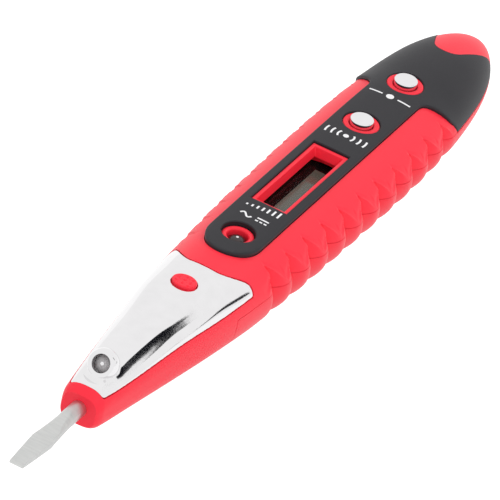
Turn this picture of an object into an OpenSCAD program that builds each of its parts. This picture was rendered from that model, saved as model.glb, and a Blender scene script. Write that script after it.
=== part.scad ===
// Pocket voltage tester in the form of a pen, with a screwdriver probe, a torch and a display.
// It lies on its back along X: the blade tip is at low X, the tail at high X, the display faces +Z.

/* [Body] */
// Length from the blade tip to the tail
overall_l = 142.8; // [139:0.2:147]
// Width across the grip
body_w = 19.2; // [18.4:0.1:21]
// Height from the flat back to the face of the display panel
body_t = 15; // [14.6:0.1:16]
// Length of the blade that stands out of the nose
blade_out = 18; // [15:0.1:22]
// Wall of the moulded shells
wall = 1.4; // [1.2:0.1:1.6]
// Height of the parting line above the back
part_z = 8.8; // [8.5:0.1:9]
// Distance of the seam behind the nose from the nose front
nose_l = 33.6; // [32.6:0.1:34]
// Thickness of the plated nose cover
cover_t = 0.8; // [0.6:0.1:1]

/* [Grip] */
// Number of grooves along each side
groove_count = 11; // [8:1:11]
// Distance from one groove to the next
groove_pitch = 5.3; // [4.9:0.05:5.4]
// Depth of a groove
groove_depth = 0.9; // [0.4:0.05:1]
// Distance of the first groove from the nose front
groove_start = 43.2; // [42:0.1:45]

/* [Panel] */
// Width of the black panel beside the display
panel_w = 8.9; // [8.6:0.1:9.6]
// Distance of the panel's round end from the nose front
panel_start = 38.9; // [38.4:0.1:39.4]
// Thickness of the panel
panel_t = 1.5; // [1.3:0.1:1.6]
// Diameter of the three round holes in the panel
ring_d = 5.8; // [5.6:0.1:6.2]
// Diameter of the hole around the indicator light
lamp_well_d = 5.2; // [5:0.1:5.6]
// Length of the display opening
lcd_open_l = 20.1; // [18:0.1:20.6]
// Width of the display opening
lcd_open_w = 6.1; // [5.6:0.1:6.6]

/* [Places along the pen, from the nose front] */
// Mouth of the torch light
torch_at = 4.4; // [4:0.1:5]
// Torch button
torch_button_at = 28.3; // [27.8:0.1:28.6]
// Indicator light
led_at = 45; // [44.6:0.1:45.4]
// Middle of the display
lcd_at = 64.3; // [64:0.1:65]
// Touch button for sensing without contact
induction_at = 83.9; // [83.6:0.1:84.6]
// Touch button for testing by contact
direct_at = 98.3; // [97.5:0.1:98.6]
// Front edge of the black tail beside the panel strip
tail_at = 95.6; // [95:0.1:96.4]

/* [Buttons] */
// Diameter of a touch button's cap
cap_d = 3.6; // [3.2:0.1:4]
// Height of a touch button's cap over the panel
cap_proud = 0.6; // [0.4:0.1:0.8]
// Length of the oval torch button
oval_l = 3.8; // [3.4:0.1:4.2]
// Width of the oval torch button
oval_w = 4.4; // [4:0.1:4.6]
// Height of the oval torch button over the nose cover
oval_proud = 0.4; // [0.3:0.1:0.8]
// Travel of each button
button_travel = 0.5; // [0.3:0.1:0.6]

/* [Blade] */
// Diameter of the round shank
shank_d = 2.5; // [2.3:0.1:2.8]
// Width of the blade at its shoulders
blade_w = 3.3; // [3:0.1:3.8]
// Width of the blade at its tip
tip_w = 2.2; // [1.8:0.1:2.8]
// Thickness of the blade at its tip
tip_t = 0.45; // [0.35:0.05:0.6]

/* [Cells] */
// Diameter of a button cell
cell_d = 7.9; // [7.7:0.1:8]
// Height of a button cell
cell_h = 3.6; // [3.4:0.1:3.6]

/* [Hidden] */
$fn = 48;
plan_fn = 72;
hull_fn = 32;
wire_fn = 24;

// Colours
red = "#f03a4a";
charcoal = "#46464a";
silver = "#c9ccd0";
steel = "#b8babd";
board_green = "#1f6b3a";
gold = "#c9a24a";

// Clearances and the overrun of every cut
over = 0.5;
seat_gap = 0.05;
slide_gap = 0.1;
part_gap = 0.15;
fuse = 0.2;

// Ends of the body and the places of its features
nose_x = -overall_l / 2 + blade_out;
tail_x = overall_l / 2;
body_l = tail_x - nose_x;
half_w = body_w / 2;
torch_button_x = nose_x + torch_button_at;
led_x = nose_x + led_at;
lcd_x = nose_x + lcd_at;
panel_x = nose_x + panel_start;

// Stations of the outer form, chosen by hand: place along the body, then half width,
// height of the widest line, of the bottom and of the top, as shares of body_l, half_w and body_t
station_shares = [
    [0, 0.29, 0.48, 0.313, 0.64],
    [0.004, 0.323, 0.48, 0.293, 0.673],
    [0.0111, 0.354, 0.48, 0.28, 0.713],
    [0.0757, 0.464, 0.487, 0.25, 0.8],
    [0.1554, 0.589, 0.493, 0.2, 0.893],
    [0.2204, 0.706, 0.5, 0.167, 0.963],
    [0.2756, 0.79, 0.507, 0.115, 0.967],
    [0.3321, 0.852, 0.52, 0.03, 0.975],
    [0.4119, 0.927, 0.533, -0.02, 1],
    [0.508, 0.969, 0.54, -0.02, 1],
    [0.6362, 1, 0.547, -0.02, 1],
    [0.7372, 0.99, 0.547, -0.02, 1],
    [0.8093, 0.938, 0.547, 0, 1],
    [0.8606, 0.868, 0.547, 0.047, 0.994],
    [0.9022, 0.778, 0.547, 0.113, 0.97],
    [0.9407, 0.64, 0.54, 0.207, 0.914],
    [0.9671, 0.488, 0.54, 0.307, 0.843],
    [0.9864, 0.33, 0.545, 0.4, 0.757],
    [0.996, 0.182, 0.56, 0.473, 0.677],
    [1, 0.05, 0.575, 0.53, 0.62]
];
last_station = len(station_shares) - 1;
cavity_first = 4;
cavity_last = last_station - 3;
cover_last = 7;
strip_first = 6;
strip_last = 13;
tail_first = 11;
tail_last = last_station - 2;
tray_first = 8;
tray_last = 11;
front_boss_first = 5;
front_boss_last = 8;
rear_boss_first = 12;
rear_boss_last = cavity_last;
ring_points = 32;
arc_points = 20;
bay_steps = 2;
least_rise = 0.001;
// Fullness of a section: 2 is an ellipse, more is boxier
nose_full = 2.75;
nose_base_full = 3.4;
grip_full = 1.85;
grip_base_full = 2;
tail_full = 2.1;
panel_full = 3;
nose_from_share = 0.12;
nose_end_share = 0.42;
tail_from_share = 0.78;

function smooth(t) = let (u = max(0, min(1, t))) u * u * (3 - 2 * u);
function slope(k, c) = let (a = max(0, k - 1), b = min(last_station, k + 1))
    (station_shares[b][c] - station_shares[a][c]) / (station_shares[b][0] - station_shares[a][0]);
function hermite(p, q, mp, mq, t) =
    p * (1 - smooth(t)) + q * smooth(t) + mp * t * (1 - t) * (1 - t) - mq * t * t * (1 - t);
function share(k, c, t) = let (a = station_shares[k], b = station_shares[k + 1], h = b[0] - a[0])
    hermite(a[c], b[c], slope(k, c) * h, slope(k + 1, c) * h, t);
function bay_of(s) = max([for (k = [0 : last_station - 1]) if (station_shares[k][0] <= s) k]);
function share_at(s, c) = let (k = bay_of(s), a = station_shares[k][0], b = station_shares[k + 1][0])
    share(k, c, (s - a) / (b - a));
// Heights of the outer form on its middle plane, and its half width, at a place from the nose front
function top_z(at) = share_at(at / body_l, 4) * body_t;
function base_z(at) = share_at(at / body_l, 3) * body_t;
function mid_z(at) = share_at(at / body_l, 2) * body_t;
function side_y(at) = share_at(at / body_l, 1) * half_w;

function nose_part(s) = 1 - smooth((s - nose_from_share) / (nose_end_share - nose_from_share));
function upper_full(s) = grip_full + (nose_full - grip_full) * nose_part(s)
    + (tail_full - grip_full) * smooth((s - tail_from_share) / (1 - tail_from_share));
function lower_full(s) = grip_base_full + (nose_base_full - grip_base_full) * nose_part(s);
function strip_full(s) = panel_full
    + (tail_full - panel_full) * smooth((s - tail_from_share) / (1 - tail_from_share));
function power(v, n) = sign(v) * pow(abs(v), 2 / n);
// Point of a section at a place along the pen. The insets move its side, top and bottom inwards.
// A strip keeps the full height ahead of the tail and has flatter sections.
function ring_point(at, a, side = 0, top = 0, base = 0, strip = false) =
    let (s = at / body_l, c = cos(a), up = sin(a) >= 0, mid = mid_z(at),
         high = strip && s < tail_from_share ? body_t : top_z(at),
         n = !up ? lower_full(s) : strip ? strip_full(s) : upper_full(s))
    [nose_x + at, (side_y(at) - side) * power(c, n),
     mid + (up ? high - top - mid : mid - base_z(at) - base) * power(sin(a), n)];
// Places of the stations and of steps between them
function bay_places(first, last) = [
    for (k = [first : last - 1], j = [0 : bay_steps - 1])
        (station_shares[k][0] + (station_shares[k + 1][0] - station_shares[k][0]) * j / bay_steps) * body_l];

// Solid through rings of points, from the low end to the high end
module loft(rings) {
    size = len(rings[0]);
    sides = [
        for (k = [0 : len(rings) - 2], i = [0 : size - 1])
            let (j = (i + 1) % size, p = k * size, q = p + size)
            each [[p + i, q + j, p + j], [p + i, q + i, q + j]]];
    front = [for (i = [0 : size - 1]) i];
    rear = [for (i = [size - 1 : -1 : 0]) (len(rings) - 1) * size + i];
    polyhedron(points = [for (r = rings) each r], faces = concat(sides, [front, rear]), convexity = 6);
}
module form_at(places, side = 0, top = 0, base = 0, strip = false) {
    loft([for (at = places)
        [for (i = [0 : ring_points - 1]) ring_point(at, 360 * i / ring_points, side, top, base, strip)]]);
}
module form(side = 0, top = 0, base = 0, first = 0, last = last_station, strip = false) {
    form_at([each bay_places(first, last), station_shares[last][0] * body_l], side, top, base, strip);
}
module cavity() {
    form(side = wall, top = panel_t + wall, base = wall, first = cavity_first, last = cavity_last);
}

// Grip grooves. Each is a valley between two round lobes that fades out above and below.
groove_z = 7.5;
groove_top_z = 12.9;
groove_top_fall = 0.9;
groove_base_z = 1.5;
groove_fade = 4;
groove_steps = [-0.5, -0.32, -0.14, 0, 0.14, 0.32];
groove_from = groove_start - groove_pitch / 2;
groove_to = groove_start + (groove_count - 0.5) * groove_pitch;
function groove_reach(at, z) = z < groove_z ? groove_z - groove_base_z
    : groove_top_z - groove_z - groove_top_fall * (at - groove_from) / (groove_to - groove_from);
function lobe_rise(at) = let (t = (at - groove_start) / groove_pitch, u = 1 - 2 * abs(t - round(t)))
    groove_depth * (1 - u * u);
function groove_cut(at, z) = at < groove_from || at > groove_to ? 0
    : let (r = (z - groove_z) / groove_reach(at, z))
    max(0, groove_depth * (1 - pow(abs(r), groove_fade)) - lobe_rise(at));
function grooved(p, at) = [p[0], p[1] - sign(p[1]) * groove_cut(at, p[2]), max(0, p[2])];
// The grooves slant: a ring is moved to the tail the more the lower its points are
groove_lean = 0.37;
groove_lean_z = 12.5;
groove_lean_end = 113;
function lean_share(at) = let (
    t = max(0, min(1, (at - nose_l) / (groove_from - nose_l), (groove_lean_end - at) / (groove_lean_end - groove_to))))
    t * t * (3 - 2 * t);
function leaned(at, z) = at + groove_lean * max(0, groove_lean_z - z) * lean_share(at);
// Angle of a share of the way round the upper or the lower arc of a ring
function upper_angle(at, share) = let (a = part_angle(at)) a + (180 - 2 * a) * share;
function lower_angle(at, share) = let (a = part_angle(at)) -180 - a + (180 + 2 * a) * share;

// Places of the rings ahead of the seam and behind it
nose_places = [for (p = bay_places(0, last_station)) if (p < nose_l - over) p, nose_l];
grip_places = [
    nose_l,
    for (p = bay_places(0, last_station)) if (p > nose_l + over && p < groove_from - over) p,
    for (i = [0 : groove_count - 1], t = groove_steps) groove_start + (i + t) * groove_pitch,
    groove_to,
    for (p = bay_places(0, last_station)) if (p > groove_to + over) p,
    body_l
];
function part_angle(at) = let (t = max(least_rise, (part_z - mid_z(at)) / (top_z(at) - mid_z(at))))
    asin(pow(t, upper_full(at / body_l) / 2));
module upper_half() {
    loft([for (at = grip_places)
        [for (i = [0 : arc_points])
            let (share = i / arc_points, to = leaned(at, ring_point(at, upper_angle(at, share))[2]))
            grooved(ring_point(to, upper_angle(to, share)), at)]]);
}
module lower_half() {
    loft([for (at = grip_places)
        [for (i = [0 : arc_points])
            let (share = i / arc_points, to = leaned(at, ring_point(at, lower_angle(at, share))[2]))
            grooved(ring_point(to, lower_angle(to, share)), at)]]);
}

// Keeps what is inside the outer form between two stations
module inside(first, last) {
    intersection() {
        form(first = first, last = last);
        children();
    }
}

// Block between two places along the pen, across a width on the middle plane, between two heights
module block(from, to, width, low, high) {
    translate([nose_x + from, -width / 2, low])
        cube([to - from, width, high - low]);
}
module post(at, r, low, high, y = 0) {
    translate([nose_x + at, y, low])
        cylinder(h = high - low, r = r);
}
// Cylinder along the pen on the shank's axis
module rod(from, to, r) {
    translate([nose_x + from, 0, shank_z])
        rotate([0, 90, 0])
            cylinder(h = to - from, r = r);
}
module both_sides() {
    children();
    mirror([0, 1, 0])
        children();
}

// Region of the plated nose cover
cover_front = 1.3;
cover_rear = 38.2;
cover_front_z = 9.8;
cover_rear_z = 10.7;
cover_notch_r = 7.1;
cover_notch_at = 41.5;
module cover_region(gap = 0) {
    difference() {
        rotate([90, 0, 0])
            linear_extrude(height = body_w + 2 * over, center = true)
                polygon([
                    [nose_x + cover_front - gap, cover_front_z - gap],
                    [nose_x + cover_rear + gap, cover_rear_z - gap],
                    [nose_x + cover_rear + gap, body_t + over],
                    [nose_x + cover_front - gap, body_t + over]]);
        post(cover_notch_at, cover_notch_r - gap, 0, body_t + 2 * over);
    }
}

// Torch pod: a ball with a tapered tail, cut off at its mouth, on an axis that points forward and up
torch_tilt = 30;
torch_z = 12.9;
pod_r = 2.35;
pod_set = 1.2;
pod_tail_l = 5;
pod_tail_r = 1;
bulb_r = 1.5;
bulb_flange_r = 1.6;
bulb_flange_t = 0.5;
bulb_l = 2.6;
bulb_set = 0.5;
leg_r = 0.25;
leg_y = 0.65;
leg_to = 23.5;
leg_channel_from = 8.2;
leg_channel_to = 28.5;
leg_channel_w = 2.4;
leg_channel_h = 1.2;
module on_torch_axis() {
    translate([nose_x + torch_at, 0, torch_z])
        rotate([0, 90 + torch_tilt, 0])
            children();
}
module pod(inset = 0) {
    on_torch_axis()
        intersection() {
            union() {
                translate([0, 0, pod_set])
                    sphere(r = pod_r - inset);
                translate([0, 0, pod_set])
                    cylinder(h = pod_tail_l, r1 = pod_r - inset, r2 = pod_tail_r - inset);
            }
            translate([0, 0, inset])
                cylinder(h = pod_set + pod_tail_l + over, r = pod_r + over);
        }
}

// Region of the black panel: a strip with a round end, and the whole tail behind it
panel_end_l = 5.6;
shoulder_r = 1.6;
tail_side_at = 101.2;
tongue_at = 111.3;
tongue_l = 10;
tongue_w = 8.6;
module strip_plan(gap = 0) {
    w = panel_w / 2 + gap;
    translate([panel_x + panel_end_l, -w])
        square([nose_x + tail_at + 2 * shoulder_r - panel_x - panel_end_l, 2 * w]);
    intersection() {
        translate([panel_x + panel_end_l, 0])
            scale([(panel_end_l + gap) / w, 1])
                circle(r = w, $fn = plan_fn);
        translate([panel_x - over, -w])
            square([panel_end_l + 2 * over, 2 * w]);
    }
}
module tail_half(gap = 0) {
    front = nose_x + tail_at - gap;
    polygon([
        [front, 0],
        [front, panel_w / 2],
        [front + shoulder_r, panel_w / 2 + shoulder_r / 2],
        [front + 2 * shoulder_r, panel_w / 2 + 2 * shoulder_r],
        [nose_x + tail_side_at - gap, half_w],
        [tail_x + over, half_w],
        [tail_x + over, 0]]);
}
module tongue_plan(gap = 0) {
    translate([nose_x + tongue_at + tongue_l, 0])
        scale([tongue_l - gap, tongue_w / 2 - gap])
            circle(r = 1, $fn = plan_fn);
    translate([nose_x + tongue_at + tongue_l, -tongue_w / 2 + gap])
        square([body_l - tongue_at - tongue_l + over, tongue_w - 2 * gap]);
}
module strip_region(gap = 0) {
    translate([0, 0, seat_z - gap])
        linear_extrude(height = panel_t + 2 * over)
            strip_plan(gap);
}
module tail_region(gap = 0) {
    difference() {
        translate([0, 0, part_z - gap])
            linear_extrude(height = body_t - part_z + 2 * over)
                difference() {
                    union() {
                        tail_half(gap);
                        mirror([0, 1])
                            tail_half(gap);
                    }
                    tongue_plan(gap);
                }
        form(side = panel_t + gap, top = panel_t + gap, first = tail_first, last = tail_last);
    }
}

// Heights of the stack between the panel and the board
seat_z = body_t - panel_t;
pocket_z = seat_z - wall + slide_gap;
board_z = 7.2;
board_t = 1;
board_top = board_z + board_t;

// Touch buttons and the indicator light
cap_r = cap_d / 2;
ring_r = ring_d / 2;
ring_drop = 0.25;
flange_r = 2.6;
flange_t = 0.6;
flange_z = pocket_z - flange_t;
spring_r = 1.5;
spring_wire = 0.35;
spring_turns = 4;
pad_r = 2.2;
pad_t = 0.15;
lamp_well_r = lamp_well_d / 2;
lamp_ring_r = 1.65;
lamp_ring_drop = 0.65;
lamp_drop = 1.1;
lamp_flange_t = 1;

// Display
rim_wall = 0.45;
rim_drop = 0.4;
rim_taper = 0.35;
window_t = 0.9;
window_edge_x = 1.5;
window_edge_y = 1.2;
window_l = lcd_open_l + 2 * window_edge_x;
window_w = lcd_open_w + 2 * window_edge_y;
glass_t = 1.7;
glass_z = pocket_z - window_t - glass_t;
strip_w = 1.2;

// Screws: place along the pen and across it
screw_r = 1;
screw_head_r = 1.7;
screw_head_t = 1.2;
screw_l = 6.3;
screw_seat_z = 4.2;
screw_tube_r = 2.6;
screw_boss_r = 1.9;
screw_slot_w = 0.5;
screw_slot_t = 0.5;
front_screw_at = 37.2;
front_screw_y = 3.4;
rear_screw_at = 111.6;
screw_places = [
    [front_screw_at, front_screw_y], [front_screw_at, -front_screw_y], [rear_screw_at, 0]
];

// Cells and the battery door
cell_gap = 0.3;
cell_step = cell_d + cell_gap;
cell_mid_at = 68.7;
door_t = 1.9;
contact_t = 0.3;
cell_z = door_t + contact_t;
cell_rim = 0.2;
cell_cap_inset = 0.6;
cell_cap_h = 0.4;
tray_wall = 1.1;
tray_l = 2 * cell_step + cell_d + 2 * part_gap;
tray_w = cell_d + 2 * part_gap;
tray_top = cell_z + cell_h;
door_ledge = 0.5;
door_tab_l = 4.6;
door_from = cell_mid_at - tray_l / 2 - door_ledge;
door_to = cell_mid_at + tray_l / 2 + door_ledge + door_tab_l;
door_w = tray_w + 2 * door_ledge;
door_screw_at = door_to - door_tab_l / 2;
door_screw_l = 4;
door_screw_head_t = 0.9;
door_screw_seat = 1.1;
door_boss_h = 4.4;
contact_w = 4;
contact_leg = 1.2;

// Blade, spring and resistor on the shank's axis
shank_z = 7.4;
shank_end_at = 13.5;
shank_round_l = 3.2;
shoulder_back = 7.4;
shoulder_t = 0.85;
blade_slice = 0.05;
probe_well_r = 1.35;
probe_spring_r = 0.95;
probe_spring_wire = 0.3;
probe_spring_turns = 5;
probe_spring_l = 3.4;
resistor_cap_r = 1;
resistor_cap_t = 0.4;
resistor_at = 18.6;
resistor_l = 6.5;
resistor_r = 1.2;
lead_r = 0.3;

// Boards
main_from = 40.5;
main_to = 106.8;
main_w = 12.6;
board_post_r = 1;
board_post_y = 4.6;
board_post_z = 2.6;
board_hold_z = 11;
board_post_places = [43, 103.6];
torch_board_z = 8.8;
torch_board_t = 0.8;
torch_board_from = 21.5;
torch_board_to = 33;
torch_board_w = 6;
torch_board_top = torch_board_z + torch_board_t;
// Place on the torch axis, and along the pen, where the light's legs bend level
leg_bend = (torch_z - torch_board_top - leg_r) / sin(torch_tilt);
leg_x = nose_x + torch_at + leg_bend * cos(torch_tilt);
ledge_y = 2.3;
ledge_t = 0.8;
front_ledge = [22, 25.5, 5.3];
rear_ledge = [28, 30.4, 6.1];
hold_r = 0.6;
hold_y = 2.2;
hold_places = [22.8, 32.2];
chip_l = 7;
chip_w = 4.4;
chip_t = 1.1;
board_part_t = 0.7;
// Small parts on the board: place along the pen, place across it, length and width
board_part_sizes = [
    [49.2, -2.4, 3.2, 1.6], [49.2, 2.6, 2, 1.25], [78.4, 2.4, 2, 1.25], [78.4, -2.4, 2, 1.25],
    [91, 3, 3.2, 1.6], [91, -2.8, 1.6, 3.2]
];

// Torch switch and its button
switch_l = 4.2;
switch_w = 3.2;
switch_h = 1.2;
stem_r = 0.9;
stem_set = 0.5;
stem_z = torch_board_top + switch_h - stem_set;
oval_flange = 0.7;
oval_flange_t = 0.6;
oval_flange_z = torch_board_top + switch_h + button_travel;
oval_pocket_z = oval_flange_z + oval_flange_t;
oval_top = top_z(torch_button_at) + oval_proud;
dimple_r = 0.4;
dimple_depth = 0.1;
dimple_row = 1.15;
dimple_pitch = 0.95;
dimple_shift = 0.2;

module oval(grow, low, high) {
    translate([torch_button_x, 0, low])
        linear_extrude(height = high - low)
            scale([(oval_l + 2 * grow) / (oval_w + 2 * grow), 1])
                circle(r = oval_w / 2 + grow, $fn = plan_fn);
}

module upper_housing() {
    color(red)
        difference() {
            union() {
                difference() {
                    union() {
                        form_at(nose_places);
                        upper_half();
                    }
                    difference() {
                        cover_region(seat_gap);
                        form(side = cover_t, top = cover_t, last = cover_last);
                    }
                    strip_region(seat_gap);
                    tail_region(seat_gap);
                    cavity();
                }
                housing_bosses();
                torch_ledges();
                button_rings();
                lamp_ring();
                display_rim();
            }
            display_well();
            button_bores();
            screw_bores();
            torch_bores();
            rod(-over, shank_end_at, shank_d / 2);
            rod(shank_end_at - seat_gap, resistor_at + over + resistor_l, probe_well_r);
        }
}
module housing_bosses() {
    for (p = screw_places)
        post(p[0], screw_boss_r, part_z, top_z(p[0]) - panel_t - wall + fuse, p[1]);
    for (at = board_post_places, s = [-1, 1])
        post(at, board_post_r, board_top, board_hold_z, s * board_post_y);
    for (at = hold_places, s = [-1, 1])
        post(at, hold_r, torch_board_top, top_z(at) - panel_t - wall + fuse, s * hold_y);
}
module torch_ledges() {
    for (ledge = [front_ledge, rear_ledge])
        both_sides()
            translate([nose_x + ledge[0], ledge_y, torch_board_z - ledge_t])
                cube([ledge[1] - ledge[0], ledge[2] - ledge_y, ledge_t]);
}
module button_rings() {
    for (at = [induction_at, direct_at])
        post(at, ring_r - seat_gap, seat_z - over, body_t - ring_drop);
}
module lamp_ring() {
    outer = lamp_well_r - seat_gap;
    bead = (outer - lamp_ring_r) / 2;
    top = body_t - lamp_ring_drop;
    translate([led_x, 0, 0])
        rotate_extrude() {
            translate([0, seat_z - over])
                square([outer, top - bead - seat_z + over]);
            translate([outer - bead, top - bead])
                circle(r = bead);
        }
}
module display_rim() {
    block(lcd_at - lcd_open_l / 2 + seat_gap, lcd_at + lcd_open_l / 2 - seat_gap,
          lcd_open_w - 2 * seat_gap, seat_z - over, body_t - rim_drop);
}
module display_well() {
    low_l = lcd_open_l - 2 * rim_wall - 2 * rim_taper;
    low_w = lcd_open_w - 2 * rim_wall - 2 * rim_taper;
    translate([lcd_x, 0, pocket_z - over])
        linear_extrude(height = body_t - rim_drop - pocket_z + 2 * over,
                       scale = [1 + 2 * rim_taper / low_l, 1 + 2 * rim_taper / low_w],
                       slices = 1, $fn = 4)
            square([low_l, low_w], center = true);
    block(lcd_at - window_l / 2 - slide_gap, lcd_at + window_l / 2 + slide_gap,
          window_w + 2 * slide_gap, board_top, pocket_z);
}
module button_bores() {
    post(led_at, bulb_r + slide_gap, board_top, body_t + over);
    for (at = [induction_at, direct_at]) {
        post(at, cap_r + slide_gap, board_top, body_t + over);
        post(at, flange_r + part_gap, board_top, pocket_z);
    }
    oval(slide_gap, torch_board_z, body_t + over);
    oval(oval_flange + part_gap, torch_board_top, oval_pocket_z);
}
module screw_bores() {
    for (p = screw_places)
        post(p[0], screw_r + seat_gap, part_z - over, screw_seat_z + screw_l + slide_gap, p[1]);
}
module torch_bores() {
    on_torch_axis()
        translate([0, 0, -over]) {
            cylinder(h = bulb_set + bulb_l + over + slide_gap, r = bulb_flange_r + slide_gap);
            cylinder(h = leg_bend + leg_channel_h + over, r = leg_channel_w / 2);
        }
    block(leg_channel_from, leg_channel_to, leg_channel_w, torch_board_top - fuse,
          torch_board_top - fuse + leg_channel_h);
}

module back_cover() {
    color(red)
        difference() {
            union() {
                difference() {
                    lower_half();
                    cavity();
                }
                inside(front_boss_first, front_boss_last)
                    for (s = [-1, 1])
                        post(front_screw_at, screw_tube_r, over, part_z, s * front_screw_y);
                inside(rear_boss_first, rear_boss_last)
                    post(rear_screw_at, screw_tube_r, over, part_z);
                inside(tray_first, tray_last)
                    cell_tray();
                for (at = board_post_places, s = [-1, 1])
                    post(at, board_post_r, board_post_z, board_z, s * board_post_y);
            }
            for (p = screw_places) {
                post(p[0], screw_r + seat_gap, 0, part_z + over, p[1]);
                post(p[0], screw_head_r + slide_gap, -over, screw_seat_z, p[1]);
            }
            block(door_from - part_gap, door_to + part_gap, door_w + 2 * part_gap, -over, door_t);
            block(cell_mid_at - tray_l / 2, cell_mid_at + tray_l / 2, tray_w, door_t - over, tray_top + over);
            post(door_screw_at, screw_r + seat_gap, door_t - over, door_screw_seat + door_screw_l + slide_gap);
        }
}
module cell_tray() {
    block(cell_mid_at - tray_l / 2 - tray_wall, cell_mid_at + tray_l / 2 + tray_wall,
          tray_w + 2 * tray_wall, over, tray_top);
    post(door_screw_at, screw_tube_r, over, door_t + door_boss_h);
}

module battery_door() {
    color(red)
        difference() {
            inside(tray_first, tray_last)
                block(door_from, door_to, door_w, 0, door_t);
            post(door_screw_at, screw_r + seat_gap, -over, door_t + over);
            post(door_screw_at, screw_head_r + slide_gap, -over, door_screw_seat);
        }
}

module screw(at, y, seat, length, head_t) {
    difference() {
        union() {
            post(at, screw_head_r, seat - head_t, seat, y);
            post(at, screw_r, seat - fuse, seat + length, y);
        }
        translate([nose_x + at - screw_head_r - over, y - screw_slot_w / 2, seat - head_t - over])
            cube([2 * (screw_head_r + over), screw_slot_w, screw_slot_t + over]);
    }
}
module door_screw() {
    color(steel)
        screw(door_screw_at, 0, door_screw_seat, door_screw_l, door_screw_head_t);
}
module housing_screws() {
    color(steel)
        for (p = screw_places)
            screw(p[0], p[1], screw_seat_z, screw_l, screw_head_t);
}

module face_panel() {
    color(charcoal)
        difference() {
            union() {
                intersection() {
                    form(first = strip_first, last = strip_last, strip = true);
                    strip_region();
                }
                intersection() {
                    form(first = tail_first, strip = true);
                    tail_region();
                }
            }
            post(led_at, lamp_well_r, part_z, body_t + over);
            for (at = [induction_at, direct_at])
                post(at, ring_r, part_z, body_t + over);
            block(lcd_at - lcd_open_l / 2, lcd_at + lcd_open_l / 2, lcd_open_w, part_z, body_t + over);
        }
}

module nose_cover() {
    color(silver)
        difference() {
            union() {
                intersection() {
                    form(last = cover_last);
                    cover_region();
                }
                intersection() {
                    pod();
                    cover_region();
                }
            }
            form(side = cover_t, top = cover_t, last = cover_last);
            pod(cover_t);
            on_torch_axis() {
                translate([0, 0, -over])
                    cylinder(h = pod_set + over, r = bulb_r + slide_gap);
                translate([0, 0, cover_t])
                    cylinder(h = bulb_set + bulb_l + slide_gap - cover_t, r = bulb_flange_r + slide_gap);
            }
            oval(slide_gap, part_z, body_t + over);
        }
}

module probe_blade() {
    color(steel) {
        rod(-shank_round_l, shank_end_at, shank_d / 2);
        hull() {
            rod(-shank_round_l - blade_slice, -shank_round_l, shank_d / 2, $fn = hull_fn);
            block(-blade_out + shoulder_back, -blade_out + shoulder_back + blade_slice, blade_w,
                  shank_z - shoulder_t / 2, shank_z + shoulder_t / 2);
        }
        hull() {
            block(-blade_out + shoulder_back, -blade_out + shoulder_back + blade_slice, blade_w,
                  shank_z - shoulder_t / 2, shank_z + shoulder_t / 2);
            block(-blade_out, -blade_out + blade_slice, tip_w, shank_z - tip_t / 2, shank_z + tip_t / 2);
        }
    }
}

// Spring made of level rings, each joined to the next one on alternate sides
module coil(r, wire, turns, length) {
    step = (length - wire) / turns;
    for (i = [0 : turns])
        translate([0, 0, wire / 2 + i * step])
            rotate_extrude()
                translate([r, 0])
                    circle(r = wire / 2, $fn = wire_fn);
    for (i = [0 : turns - 1])
        rotate([0, 0, 180 * i])
            translate([r, 0, wire / 2 + i * step])
                cylinder(h = step, r = wire / 2);
}
module probe_spring() {
    color(steel)
        translate([nose_x + shank_end_at, 0, shank_z])
            rotate([0, 90, 0])
                coil(probe_spring_r, probe_spring_wire, probe_spring_turns, probe_spring_l);
}
module button_spring(at) {
    color(steel)
        translate([nose_x + at, 0, board_top + pad_t])
            coil(spring_r, spring_wire, spring_turns, flange_z - board_top - pad_t);
}
module direct_spring() {
    button_spring(direct_at);
}
module induction_spring() {
    button_spring(induction_at);
}

module series_resistor() {
    color("#6f8f9f") {
        rod(shank_end_at + probe_spring_l, shank_end_at + probe_spring_l + resistor_cap_t, resistor_cap_r);
        rod(shank_end_at + probe_spring_l, main_from, lead_r);
        rod(resistor_at, resistor_at + resistor_l, resistor_r);
    }
}

module torch_led() {
    color("#e8eef2") {
        on_torch_axis() {
            translate([0, 0, bulb_set + bulb_r])
                sphere(r = bulb_r);
            translate([0, 0, bulb_set + bulb_r])
                cylinder(h = bulb_l - bulb_r, r = bulb_r);
            translate([0, 0, bulb_set + bulb_l - bulb_flange_t])
                cylinder(h = bulb_flange_t, r = bulb_flange_r);
        }
        for (s = [-1, 1]) {
            on_torch_axis()
                translate([0, s * leg_y, bulb_set + bulb_l - fuse])
                    cylinder(h = leg_bend - bulb_set - bulb_l + fuse, r = leg_r);
            translate([leg_x, s * leg_y, torch_board_top + leg_r])
                sphere(r = leg_r);
            translate([leg_x, s * leg_y, torch_board_top + leg_r])
                rotate([0, 90, 0])
                    cylinder(h = nose_x + leg_to - leg_x, r = leg_r);
        }
    }
}

module torch_board() {
    color(board_green)
        block(torch_board_from, torch_board_to, torch_board_w, torch_board_z, torch_board_top);
}

module torch_switch() {
    color("#2b2b2e")
        difference() {
            block(torch_button_at - switch_l / 2, torch_button_at + switch_l / 2, switch_w,
                  torch_board_top, torch_board_top + switch_h);
            post(torch_button_at, stem_r + seat_gap, stem_z - button_travel, oval_flange_z);
        }
}

module torch_switch_stem() {
    color("#d8d8d8")
        post(torch_button_at, stem_r, stem_z, oval_flange_z);
}

module torch_button() {
    color(silver)
        difference() {
            union() {
                oval(0, oval_flange_z, oval_top);
                oval(oval_flange, oval_flange_z, oval_pocket_z);
            }
            for (i = [-1 : 1], j = [-1 : 1])
                translate([torch_button_x + i * dimple_pitch + j * dimple_shift,
                           j * dimple_row, oval_top + dimple_r - dimple_depth])
                    sphere(r = dimple_r);
        }
}

module lcd_window() {
    color("#cfe0d8", 0.4)
        block(lcd_at - window_l / 2, lcd_at + window_l / 2, window_w, pocket_z - window_t, pocket_z);
}

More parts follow.
